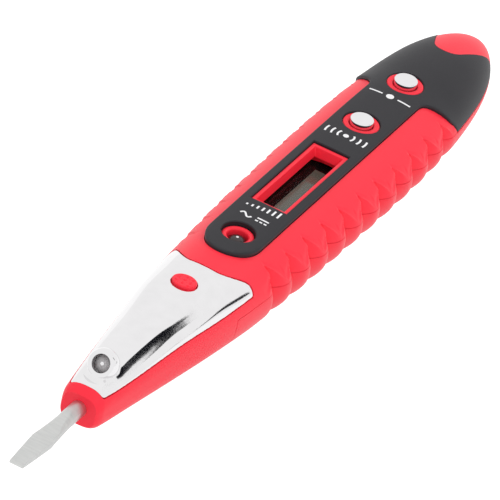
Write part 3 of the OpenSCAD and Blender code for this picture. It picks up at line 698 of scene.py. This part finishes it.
# Red ABS, moulded with a fine matt texture: the grain is 0.25 mm wide so that it shows
red_abs = finish("moulded red ABS", ("#fb2c40", "#f8283c"), (14, 3.0), (0.25, 2.0), (0.35, 0.47),
                 (1, 0.12, 0.02), {"IOR": 1.5, "Specular IOR Level": 0.3})

# The holes: their places along the body and their sizes
torch_at, torch_z, torch_tilt = 4.4, 12.9, math.radians(30)
torch_bore_r, torch_bore_depth = 1.62, 7
torch_mouth = Vector((nose_x + torch_at, 0, torch_z))
torch_way = Vector((math.cos(torch_tilt), 0, -math.sin(torch_tilt)))
shank_z, shank_r, shank_end = 7.4, 1.25, 13.5
led_at, display_at, induction_at, direct_at, torch_button_at = 45, 64.3, 83.9, 98.3, 28.6
led_x, display_x, torch_button_x = nose_x + led_at, nose_x + display_at, nose_x + torch_button_at
well_r, lamp_well_r, lamp_bore_r = 2.9, 2.6, 1.6
cap_r, cap_gap = 1.8, 0.1
display_half_l, display_half_w, display_lip = 10.05, 3.05, 0.3
oval_half_l, oval_half_w, oval_top, oval_room = 1.64, 1.9, 14.8, 0.7
bore_low, bore_high = 11, 16
cover_gap, panel_gap, floor_gap = 0.07, 0.1, 0.05

nose_under = skin("nose_under", [lower_arc(at) for at in nose_places])
upper = skin("upper_shell", [upper_arc(at) for at in nose_places[:-1] + grip_places])
under = skin("parting_face", [[upper_arc(at)[0], upper_arc(at)[-1]] for at in grip_places])
housing = weld(upper, [nose_under, under])
carve(housing, hollow())
carve(housing, laid_tool(grown(cover_outline(), cover_gap), -cover_t - floor_gap, 4, False))
pocket = laid_tool(grown(panel_outline(), panel_gap), -panel_t - floor_gap, 2, True)
carve(pocket, prism(mirrored(tongue), 0, 20))
carve(housing, pocket)
for at, radius in ((led_at, lamp_bore_r), (induction_at, cap_r + cap_gap), (direct_at, cap_r + cap_gap)):
    carve(housing, post("bore", at, bore_low, bore_high, radius))
carve(housing, block(
    "opening", (display_x - display_half_l + display_lip, -display_half_w + display_lip, bore_low),
    (display_x + display_half_l - display_lip, display_half_w - display_lip, bore_high)))
carve(housing, rod("bore", torch_mouth - torch_way * 2, torch_mouth + torch_way * torch_bore_depth,
                   torch_bore_r))
carve(housing, rod("bore", (nose_x - 1, 0, shank_z), (nose_x + shank_end, 0, shank_z), shank_r))
oval_tool = rod("bore", (0, 0, 9), (0, 0, bore_high), 1)
oval_tool.scale = (oval_half_l + oval_room, oval_half_w + oval_room, 1)
oval_tool.location.x = torch_button_x * MM
carve(housing, oval_tool)
smooth_faces(housing)
housing.name = "upper_housing_shell"
settle(housing, "pen", red_abs, "upper_housing", slot="red_plastic")


def round_edges(piece, width, segments):
    """Applies the place and size of a piece, rounds its sharp edges and smooths its faces."""
    only(piece)
    bpy.ops.object.transform_apply()
    use(piece, "BEVEL", width=width * MM, segments=segments, limit_method="ANGLE")
    smooth_faces(piece)
    return piece


# Rims inside the panel's holes: part of the red moulding, standing up from its floor.
# A round collar at each touch button, a beaded collar at the indicator and a sloped frame at
# the display. Each collar has its place, two radii, top, rounding and the rounding's steps.
collar_low, collar_r, collar_top, collar_gap = 12.2, 2.82, 14.75, 0.12
for name, at, outer, inner, high, rounding, segments in (
        ("induction_collar", induction_at, collar_r, cap_r + collar_gap, collar_top, 0.16, 3),
        ("direct_collar", direct_at, collar_r, cap_r + collar_gap, collar_top, 0.16, 3),
        ("lamp_collar", led_at, 2.52, lamp_bore_r, 14.35, 0.42, 6)):
    collar = post(name, at, collar_low, high, outer, 96)
    bpy.ops.object.transform_apply()
    select(collar, lambda points, normal: abs(normal.z) > 0.9)
    bpy.ops.mesh.inset(thickness=(outer - inner) * MM, use_individual=True)
    bpy.ops.mesh.bridge_edge_loops()
    face_outwards()
    settle(round_edges(collar, rounding, segments), "pen", red_abs, slot="red_plastic")

rim_half_l, rim_half_w, rim_low, rim_high = 10, 3, 12.95, 14.6
rim_side_y, inner_least_l, inner_least_w = 2.9, 17, 3.5
rim = block("display_rim", (display_x - rim_half_l, -rim_half_w, rim_low),
            (display_x + rim_half_l, rim_half_w, rim_high))
# Width of the frame above and below: it slopes inwards on its way down
for facing, rim_width in ((1, 0.62), (-1, 1.02)):
    select(rim, lambda points, normal: normal.z * facing > 0.9)
    bpy.ops.mesh.inset(thickness=rim_width * MM)
    bpy.ops.object.mode_set(mode="OBJECT")
# The two inner faces are bridged: they are the long and wide ones that stay off the sides
select(rim, lambda points, normal: abs(normal.z) > 0.9
       and max(abs(p.y) for p in points) < rim_side_y * MM
       and max(p.x for p in points) - min(p.x for p in points) > inner_least_l * MM
       and max(p.y for p in points) - min(p.y for p in points) > inner_least_w * MM)
bpy.ops.mesh.bridge_edge_loops()
face_outwards()
settle(round_edges(rim, 0.16, 3), "pen", red_abs, slot="red_plastic")

# Back cover.
# The lower red moulding, from the seam behind the nose to the tail, with the battery bay.
# It meets the upper housing at the parting line and is held by three screws from the back.
door_from, door_to, door_half, door_gap, door_t = 55.9, 86.1, 4.6, 0.15, 1.9
door_screw_at = 83.8
screw_places = [(37.2, 3.4), (37.2, -3.4), (111.6, 0)]
tube_r, head_bore_r, head_seat, screw_bore_r, door_tube_top = 2.6, 1.8, 4.2, 1.05, 6.3
tray_from, tray_to, tray_half, tray_top = 55.2, 82.2, 5.2, 5.8
bay_from, bay_to, bay_half, bay_top = 56.4, 81, 4.1, 7
cover_places = [seam_at + 0.1] + grip_places[1:]
lower_rows = [lower_arc(at, part_gap) for at in cover_places]
lower = skin("lower_shell", lower_rows)
cover = weld(lower, [skin("parting_face", [[row[0], row[-1]] for row in lower_rows])])
# Screw tubes and the battery tray stand in the room inside, from 3 mm below the back
room = hollow()
for at, y in screw_places:
    carve(room, post("tube", at, -3, part_z - 0.1, tube_r, y=y))
carve(room, post("tube", door_screw_at, -3, door_tube_top, tube_r))
carve(room, block("tray", (nose_x + tray_from, -tray_half, -3), (nose_x + tray_to, tray_half, tray_top)))
carve(cover, room)
for at, y in screw_places:
    carve(cover, post("bore", at, -2, head_seat, head_bore_r, 48, y))
    carve(cover, post("bore", at, 4, 10, screw_bore_r, 48, y))
carve(cover, block("bay", (nose_x + door_from - door_gap, -door_half - door_gap, -1),
                   (nose_x + door_to + door_gap, door_half + door_gap, door_t)))
carve(cover, block("bay", (nose_x + bay_from, -bay_half, 1), (nose_x + bay_to, bay_half, bay_top)))
carve(cover, post("bore", door_screw_at, 1, 5.2, screw_bore_r, 48))
smooth_faces(cover)
cover.name = "back_cover_shell"
settle(cover, "pen", red_abs, "back_cover", slot="red_plastic")

# Face panel.
# Charcoal ABS with a fine satin texture, pressed into the red housing: a strip with a round end
# that widens into the whole tail around the red tongue. Its rim is softly broken.
# A fine spark texture, drawn 0.2 mm wide, leaves it satin
panel_black = finish("satin charcoal ABS", ("#242327", "#29282c"), (9, 3.0), (0.2, 3.0), (0.42, 0.56),
                     (1, 0.15, 0.02), {"IOR": 1.5, "Specular IOR Level": 0.28})

panel = plate("face_panel_plate", panel_outline(), -panel_t, 0)
use(panel, "BEVEL", width=0.24, segments=3, limit_method="ANGLE", angle_limit=math.radians(50),
    use_clamp_overlap=False)
hole_depth, hole_rim, tongue_gap_l, tongue_gap_w = 3, 0.14, 0.06, 0.05


def hole_tool(at, half_l, half_w, sides):
    """Tool for a straight hole whose upper rim is broken by a small chamfer."""
    square = math.sqrt(2) if sides == 4 else 1
    bpy.ops.mesh.primitive_cylinder_add(vertices=sides, radius=square, depth=hole_depth,
                                        location=(at, 0, -hole_depth / 2 - hole_rim),
                                        rotation=(0, 0, math.pi / sides))
    tool = bpy.context.object
    bpy.ops.object.transform_apply(location=False)
    tool.scale = (half_l, half_w, 1)
    bpy.ops.object.transform_apply()
    select(tool, lambda points, normal: normal.z > 0.9)
    bpy.ops.mesh.extrude_region_move(TRANSFORM_OT_translate={"value": (0, 0, hole_rim + 0.01)})
    bpy.ops.transform.resize(value=((half_l + hole_rim) / half_l, (half_w + hole_rim) / half_w, 1),
                             center_override=(at, 0, 0))
    bpy.ops.mesh.extrude_region_move(TRANSFORM_OT_translate={"value": (0, 0, 2)})
    bpy.ops.object.mode_set(mode="OBJECT")
    return tool


for at, radius in ((led_at, lamp_well_r), (induction_at, well_r), (direct_at, well_r)):
    carve(panel, hole_tool(at, radius, radius, 96))
carve(panel, hole_tool(display_at, display_half_l, display_half_w, 4))
lay(panel, True, 0.8, 0.6)
carve(panel, prism(mirrored([(at - tongue_gap_l, y + tongue_gap_w) for at, y in tongue]), 0, 20))
smooth_faces(panel)
settle(panel, "pen", panel_black, "face_panel", slot="panel_plastic")

# Probe blade.
# Steel rod, pressed flat and widened into a screwdriver tip, then ground on both faces.
# Its round shank is moulded into the nose.
# Grinding leaves fine lines across the blade, 0.35 mm apart
ground_steel = finish("ground tool steel", ("#c4c5c4", "#dcdddb"), ((0.35, 2.5, 2.5), 4.0), None,
                      (0.28, 0.5), (0, 0.1, 0.02), {"Metallic": 1.0})

# Places along the blade, with the half width, the half thickness, the bulge of its edge and
# the angle up to which the edge is round
blade_rings = [(shank_end, 1.25, 1.25, 1.25, 90), (-3.2, 1.25, 1.25, 1.25, 90),
               (-3.6, 1.25, 1.17, 1.24, 88), (-4.4, 1.27, 1.02, 1.15, 82), (-5.6, 1.33, 0.84, 0.95, 76),
               (-7, 1.42, 0.68, 0.7, 70), (-8.5, 1.52, 0.55, 0.42, 65), (-9.8, 1.6, 0.46, 0.2, 62),
               (-10.6, 1.65, 0.425, 0.1, 60), (-12, 1.55, 0.39, 0.06, 60), (-15, 1.33, 0.305, 0.04, 60),
               (-17.8, 1.11, 0.23, 0.04, 60), (-18, 1.1, 0.21, 0.04, 60)]
blade_edge_steps, blade_face_steps = 8, 10


def blade_ring(at, half, thin, bulge, corner):
    edge, corner = [], math.radians(corner)
    for j in range(-blade_edge_steps, blade_edge_steps + 1):
        a = corner * j / blade_edge_steps
        edge.append((half - bulge * (1 - math.cos(a)), thin * math.sin(a) / math.sin(corner)))
    top = edge[-1]
    face = [(top[0] * (1 - 2 * i / blade_face_steps), top[1]) for i in range(1, blade_face_steps)]
    ring = edge + face + [(-y, -z) for y, z in edge + face] + edge[:1]
    return [[nose_x + at, y, shank_z + z] for y, z in ring]


blade = weld(skin("blade", [blade_ring(*row) for row in blade_rings]))
smooth_faces(blade, 20)
settle(blade, "pen", ground_steel, "probe_blade", slot="blade_steel")

# Torch light.
# A 3 mm clear light in the hood, with its two legs on the torch board behind it.
# Clear epoxy, cast smooth: the hood shows through it
lens_clear = finish("clear epoxy lens", ("#b9b4b6", "#e0dfe0"), (0.8, 2.0),
                    surface={"Roughness": 0.05, "IOR": 1.54, "Transmission Weight": 0.4})
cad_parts["torch_led"].data.materials[0] = lens_clear

# Nose cover.
# A thin ABS shell, plated bright and clipped over the nose, with a round hood for the torch
# and an oval hole for its button.
# The plating mirrors the room, and the moulding under it leaves slow waves 2.2 mm wide
plated = finish("bright chromium plating", ("#e6e5e6", "#efeeef"), (2.2, 2.0), (0.3, 2.0),
                (0.03, 0.09), (0, 0.1, 0.03), {"Metallic": 1.0})

nose = plate("nose_cover_shell", cover_outline(), -cover_t, 0)
oval_gap = 0.12
bpy.ops.mesh.primitive_cylinder_add(vertices=72, radius=1, depth=6, location=(torch_button_at, 0, 0))
oval = bpy.context.object
oval.scale = (oval_half_l + oval_gap, oval_half_w + oval_gap, 1)
carve(nose, oval)
use(nose, "BEVEL", width=0.12, segments=3, limit_method="ANGLE", angle_limit=math.radians(50),
    use_clamp_overlap=False)
lay(nose, False, 0.3, 0.25)
# The flat top of the cover is bounded by a crease from the hood towards the rear corner
crease_start, crease_from, crease_fade_from, crease_fade_to = 3, 9.6, 15.0, 27.0
crease_y, crease_slope, crease_rise, crease_fall = 1.55, 0.147, 0.42, 2.2
for vertex in nose.data.vertices:
    at, y = vertex.co.x / MM - nose_x, abs(vertex.co.y) / MM
    line = crease_y + crease_slope * (at - crease_from)
    fade = ease((at - crease_fade_from) / (crease_fade_to - crease_fade_from))
    strength = ease((at - crease_start) / (crease_from - crease_start)) * (1 - fade)
    share = (y / line) ** 2 if y < line else max(0, 1 - (y - line) / crease_fall) ** 2
    vertex.co.z += crease_rise * strength * share * min(1, line / 3) * MM
# The hood is a ball that runs out into the cover through a smoothed foot
hood_r, hood_set, hood_bore_r, foot_band = 2.35, 1.2, 1.4, 0.75
hood_centre = torch_mouth + torch_way * hood_set
carve(nose, ball(hood_centre, hood_r, 96), "UNION")
only(nose)
bpy.context.tool_settings.mesh_select_mode = (True, False, False)
for vertex in nose.data.vertices:
    out = (vertex.co / MM - hood_centre).length
    at, y, z = vertex.co.x / MM - nose_x, vertex.co.y / MM, vertex.co.z / MM
    above = z - on_face(at, girth_at(max(0, at), abs(y), False), 0, False)[2]
    vertex.select = hood_r - 0.05 < out < hood_r + foot_band and -0.1 < above < foot_band
bpy.ops.object.mode_set(mode="EDIT")
bpy.ops.mesh.vertices_smooth(factor=0.5, repeat=12)
bpy.ops.object.mode_set(mode="OBJECT")
# It is cut off square in front, where the bore for the light starts
carve(nose, rod("bore", torch_mouth - torch_way * 3, torch_mouth, 3))
carve(nose, rod("bore", torch_mouth - torch_way * 2, torch_mouth + torch_way * 5, hood_bore_r))
smooth_faces(nose, 40, False)
settle(nose, "pen", plated, "nose_cover", slot="plated_plastic")

# The torch button.
# Oval red ABS cap with nine small dimples, nearly level with the plated cover.
button = rod("torch_button_cap", (0, 0, 11.3), (0, 0, oval_top), 1, 72)
button.scale = (oval_half_l, oval_half_w, 1)
button.location.x = torch_button_x * MM
bpy.ops.object.transform_apply()
use(button, "BEVEL", width=0.18 * MM, segments=4, limit_method="ANGLE")
dimple_r, dimple_set, dimple_step_l, dimple_step_w, dimple_skew = 0.34, 0.22, 0.88, 1.05, 0.2
for row in (-1, 0, 1):
    for column in (-1, 0, 1):
        dimple_x = torch_button_x + column * dimple_step_l + row * dimple_skew
        dimple_place = (dimple_x, row * dimple_step_w, oval_top + dimple_set)
        carve(button, ball(dimple_place, dimple_r, 16))
smooth_faces(button)
settle(button, "torch_button", red_abs, "torch_button", slot="torch_button_plastic")

# Touch buttons.
# Turned brass, plated bright: a flat cap that stands out of the collar.
cap_low, cap_top = 11.6, 15.6
for name, at in (("induction", induction_at), ("direct", direct_at)):
    cap = round_edges(post(name + "_cap", at, cap_low, cap_top, cap_r, 96), 0.14, 4)
    settle(cap, name + "_button", plated, name + "_button", slot="cap_metal")

# Display.
# A clear acrylic window glued behind the red frame, over a liquid crystal glass. The glass is
# painted dark brown-black round its grey middle: painted shade for the shaded, darkly mirrored band inside
# the frame.
acrylic = new_material("clear cast acrylic")
place = add(acrylic, "ShaderNodeTexCoord").outputs["Object"]
cloud = add(acrylic, "ShaderNodeTexNoise", {"Vector": place, "Scale": 1 / (3 * MM), "Detail": 2.0})
clear = add(acrylic, "ShaderNodeMapRange", {"Value": cloud.outputs["Fac"], "To Min": 0.05, "To Max": 0.09})
shade = add(acrylic, "ShaderNodeMix", {
    "Factor": cloud.outputs["Fac"], "A": linear("#1c1414"), "B": linear("#2a2020")}, data_type="RGBA")
shader = add(acrylic, "ShaderNodeBsdfPrincipled", {
    "Base Color": shade.outputs["Result"], "Roughness": 0.06, "IOR": 1.49,
    "Alpha": clear.outputs["Result"]})
finish_material(acrylic, shader.outputs[0])

crystal = new_material("liquid crystal glass")
place = add(crystal, "ShaderNodeTexCoord").outputs["Object"]
axes = add(crystal, "ShaderNodeSeparateXYZ", {"Vector": place})
# Half length and half width of the grey middle; outside it the glass is painted shade
unshaded_half_l, unshaded_half_w = 8.5, 1.2
inside = None
for axis, middle, half in (("X", display_x, unshaded_half_l), ("Y", 0, unshaded_half_w)):
    off = add(crystal, "ShaderNodeMath", {0: axes.outputs[axis], 1: -middle * MM}, operation="ADD")
    off = add(crystal, "ShaderNodeMath", {0: off.outputs[0]}, operation="ABSOLUTE")
    off = add(crystal, "ShaderNodeMath", {0: off.outputs[0], 1: half * MM}, operation="LESS_THAN")
    inside = off if inside is None else add(
        crystal, "ShaderNodeMath", {0: inside.outputs[0], 1: off.outputs[0]}, operation="MULTIPLY")
cloud = add(crystal, "ShaderNodeTexNoise", {"Vector": place, "Scale": 1 / (5 * MM), "Detail": 2.0})
grey = add(crystal, "ShaderNodeMix", {
    "Factor": cloud.outputs["Fac"], "A": linear("#6a7065"), "B": linear("#60675c")}, data_type="RGBA")
# Painted shade: dark brown-black outside the grey middle, grey inside it
colour = add(crystal, "ShaderNodeMix", {
    "Factor": inside.outputs[0], "A": linear("#1d1616"), "B": grey.outputs["Result"]}, data_type="RGBA")
shader = add(crystal, "ShaderNodeBsdfPrincipled", {
    "Base Color": colour.outputs["Result"], "Roughness": 0.07, "IOR": 1.5})
finish_material(crystal, shader.outputs[0])
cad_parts["lcd_window"].data.materials[0] = acrylic
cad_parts["lcd_glass"].data.materials[0] = crystal

# Indicator light.
# A 3 mm light of dark tinted epoxy that stands on the board in its round well.
smoked = finish("dark tinted epoxy lens", ("#1b1717", "#3a2c2d"), (0.9, 3.0),
                surface={"Roughness": 0.18, "IOR": 1.54})
lens_r, lens_seat, lens_shoulder, lens_dome = 1.32, 9.4, 13.3, 0.7
flange_r, flange_t, leg_y, leg_half, leg_end = 1.6, 0.8, 0.64, 0.25, 8.2
lens = post("indicator_lens", led_at, lens_seat, lens_shoulder, lens_r)
dome = ball((led_x, 0, lens_shoulder), lens_r, 64)
dome.scale.z = lens_dome / lens_r
carve(lens, dome, "UNION")
carve(lens, post("flange", led_at, lens_seat - 0.1, lens_seat + flange_t, flange_r), "UNION")
for side in (-1, 1):
    carve(lens, block("leg", (led_x - leg_half, side * leg_y - leg_half, leg_end),
                      (led_x + leg_half, side * leg_y + leg_half, lens_seat + 0.2)), "UNION")
smooth_faces(lens)
settle(lens, "pen", smoked, "indicator_led", slot="indicator_lens")
# The bright reflector cup, which shows through the tip of the lens, and the torch light's own.
# Each is a small plated disc at the very tip of its lens: partly the real cup, partly a painted
# highlight on the lens.
highlight_cup_low, highlight_cup_high, highlight_cup_r, torch_highlight_cup_from, torch_highlight_cup_to, torch_highlight_cup_r = 13.7, 14.03, 0.24, 0.45, 0.9, 0.3
highlight_cup = round_edges(post("indicator_cup_highlight", led_at, highlight_cup_low, highlight_cup_high, highlight_cup_r, 32), 0.06, 3)
settle(highlight_cup, "pen", plated, slot="indicator_lens")
# Painted highlight on the torch light's lens: a plated disc at its tip
highlight_cup = rod("torch_cup_highlight", torch_mouth + torch_way * torch_highlight_cup_from,
          torch_mouth + torch_way * torch_highlight_cup_to, torch_highlight_cup_r, 32)
settle(round_edges(highlight_cup, 0.08, 3), "pen", plated, slot="torch_lens")

# Printed marks.
# White ink, pad printed on the panel: generic signs for the kinds of current, a row of rising
# bars, waves for the touch button that works at a distance and a bar with a dot for the other.
ink = finish("white pad printing ink", ("#e4e3e6", "#f4f4f5"), (0.4, 2.0), surface={"Roughness": 0.55})
ink_t, stroke = 0.03, 0.3


def band(points):
    """Closed outline of a printed stroke along a line of points."""
    sides = ([], [])
    for i, point in enumerate(points):
        a, b = points[max(0, i - 1)], points[min(len(points) - 1, i + 1)]
        dx, dy = b[0] - a[0], b[1] - a[1]
        length = math.hypot(dx, dy)
        for side, sign in zip(sides, (1, -1)):
            side.append((point[0] - sign * dy / length * stroke / 2,
                         point[1] + sign * dx / length * stroke / 2))
    return sides[0] + sides[1][::-1]


def arc(at, girth, radius, start, end, count=12):
    return [(at + radius * math.cos(start + (end - start) * i / count),
             girth + radius * math.sin(start + (end - start) * i / count)) for i in range(count + 1)]


strokes = []
# Wave, line and dashes for the two kinds of current
sign_at, line_at, dash_at, dash_end, dash_step = 49.66, 50.05, 49.3, 0.86, 0.72
sign_outer, sign_inner, wave_swing, wave_w = 2.3, 0.4, 0.45, 1.9
wave = [(sign_at + wave_swing * math.sin(2 * math.pi * i / 16), sign_outer - wave_w * i / 16)
        for i in range(17)]
strokes += [band(wave), band([(line_at, -sign_inner), (line_at, -sign_outer)])]
strokes += [band([(dash_at, -sign_inner - dash_step * i), (dash_at, -dash_end - dash_step * i)])
            for i in range(3)]
# Bars that rise from low to high
bars_at, bars_outer, bar_step, bar_l, bar_rise = 52.1, 2.55, 0.85, 0.4, 0.19
for i in range(7):
    bar_y = bars_outer - bar_step * i
    strokes.append(band([(bars_at, bar_y), (bars_at + bar_l + bar_rise * i, bar_y)]))
# Waves on both sides of a dot
waves_at = 78.81
strokes.append(arc(waves_at, 0, 0.45, 0, 2 * math.pi, 20)[:-1])
for radius, spread in ((1.3, 0.62), (2.3, 0.36), (3.3, 0.25)):
    for turn in (-math.pi / 2, math.pi / 2):
        strokes.append(band(arc(waves_at, 0, radius, turn - spread, turn + spread)))
# A dot between two lines
dot_at = 93.18
strokes.append(arc(dot_at, 0, 0.62, 0, 2 * math.pi, 24)[:-1])
strokes += [band([(dot_at, sign * 1.3), (dot_at, sign * 3.5)]) for sign in (1, -1)]
marks = None
for outline in strokes:
    mark = lay(plate("mark", outline, 0, ink_t), True, 0.4, 0.4)
    if marks:
        only(marks)
        mark.select_set(True)
        bpy.ops.object.join()
    marks = marks or mark
marks.name = "panel_marks"
settle(marks, "pen", ink, slot="panel_plastic")

# Battery door, screws and the parts inside.
# The solids of the drawing keep their shape here and get the finish that each real part has:
# name, two shades, size of the grain in mm, roughness, metallic and the parts that have it.
inner_finishes = [
    ("drawn spring steel", ("#9a9b9e", "#c4c5c8"), 0.2, 0.3, 1.0,
     ["probe_spring", "direct_spring", "induction_spring"]),
    ("zinc plated steel", ("#8f9296", "#b4b7ba"), 0.4, 0.35, 1.0, ["door_screw", "housing_screws"]),
    ("green solder mask on glass fibre", ("#0c4a24", "#12602f"), 0.5, 0.35, 0.0,
     ["torch_board", "main_board"]),
    ("black moulded nylon", ("#1b1b1d", "#28282a"), 0.3, 0.5, 0.0, ["torch_switch"]),
    ("natural moulded nylon", ("#cfcdc4", "#dedcd4"), 0.3, 0.5, 0.0, ["torch_switch_stem"]),
    ("blue resistor lacquer", ("#3d6f8e", "#5486a5"), 0.4, 0.35, 0.0, ["series_resistor"]),
    ("gold over nickel", ("#c9a04a", "#ddb868"), 0.3, 0.25, 1.0, ["contact_pads"]),
    ("black moulding compound", ("#17171a", "#242428"), 0.2, 0.6, 0.0, ["driver_chip"]),
    ("fired ceramic", ("#9b8569", "#b39a7a"), 0.2, 0.5, 0.0, ["board_parts"]),
    ("nickel plated cell can", ("#b9babb", "#d3d4d5"), 0.6, 0.25, 1.0,
     ["battery_cell_1", "battery_cell_2", "battery_cell_3"]),
    ("sprung brass strip", ("#b08a46", "#caa45c"), 0.5, 0.3, 1.0, ["cell_contacts", "door_contact"]),
    ("layered connector rubber", ("#5f6063", "#8b8c8f"), 0.15, 0.7, 0.0, ["lcd_connectors"])]
coats = [(red_abs, ["battery_door"])]
for name, shades, size, rough, metallic, node_names in inner_finishes:
    coats.append((finish(name, shades, (size, 3.0), None, (rough - 0.06, rough + 0.08),
                         (0, 0.1, 0.03), {"Metallic": metallic}), node_names))
for material, node_names in coats:
    for node_name in node_names:
        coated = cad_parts[node_name].data.materials
        for i in range(len(coated)):
            coated[i] = material

low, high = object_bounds()
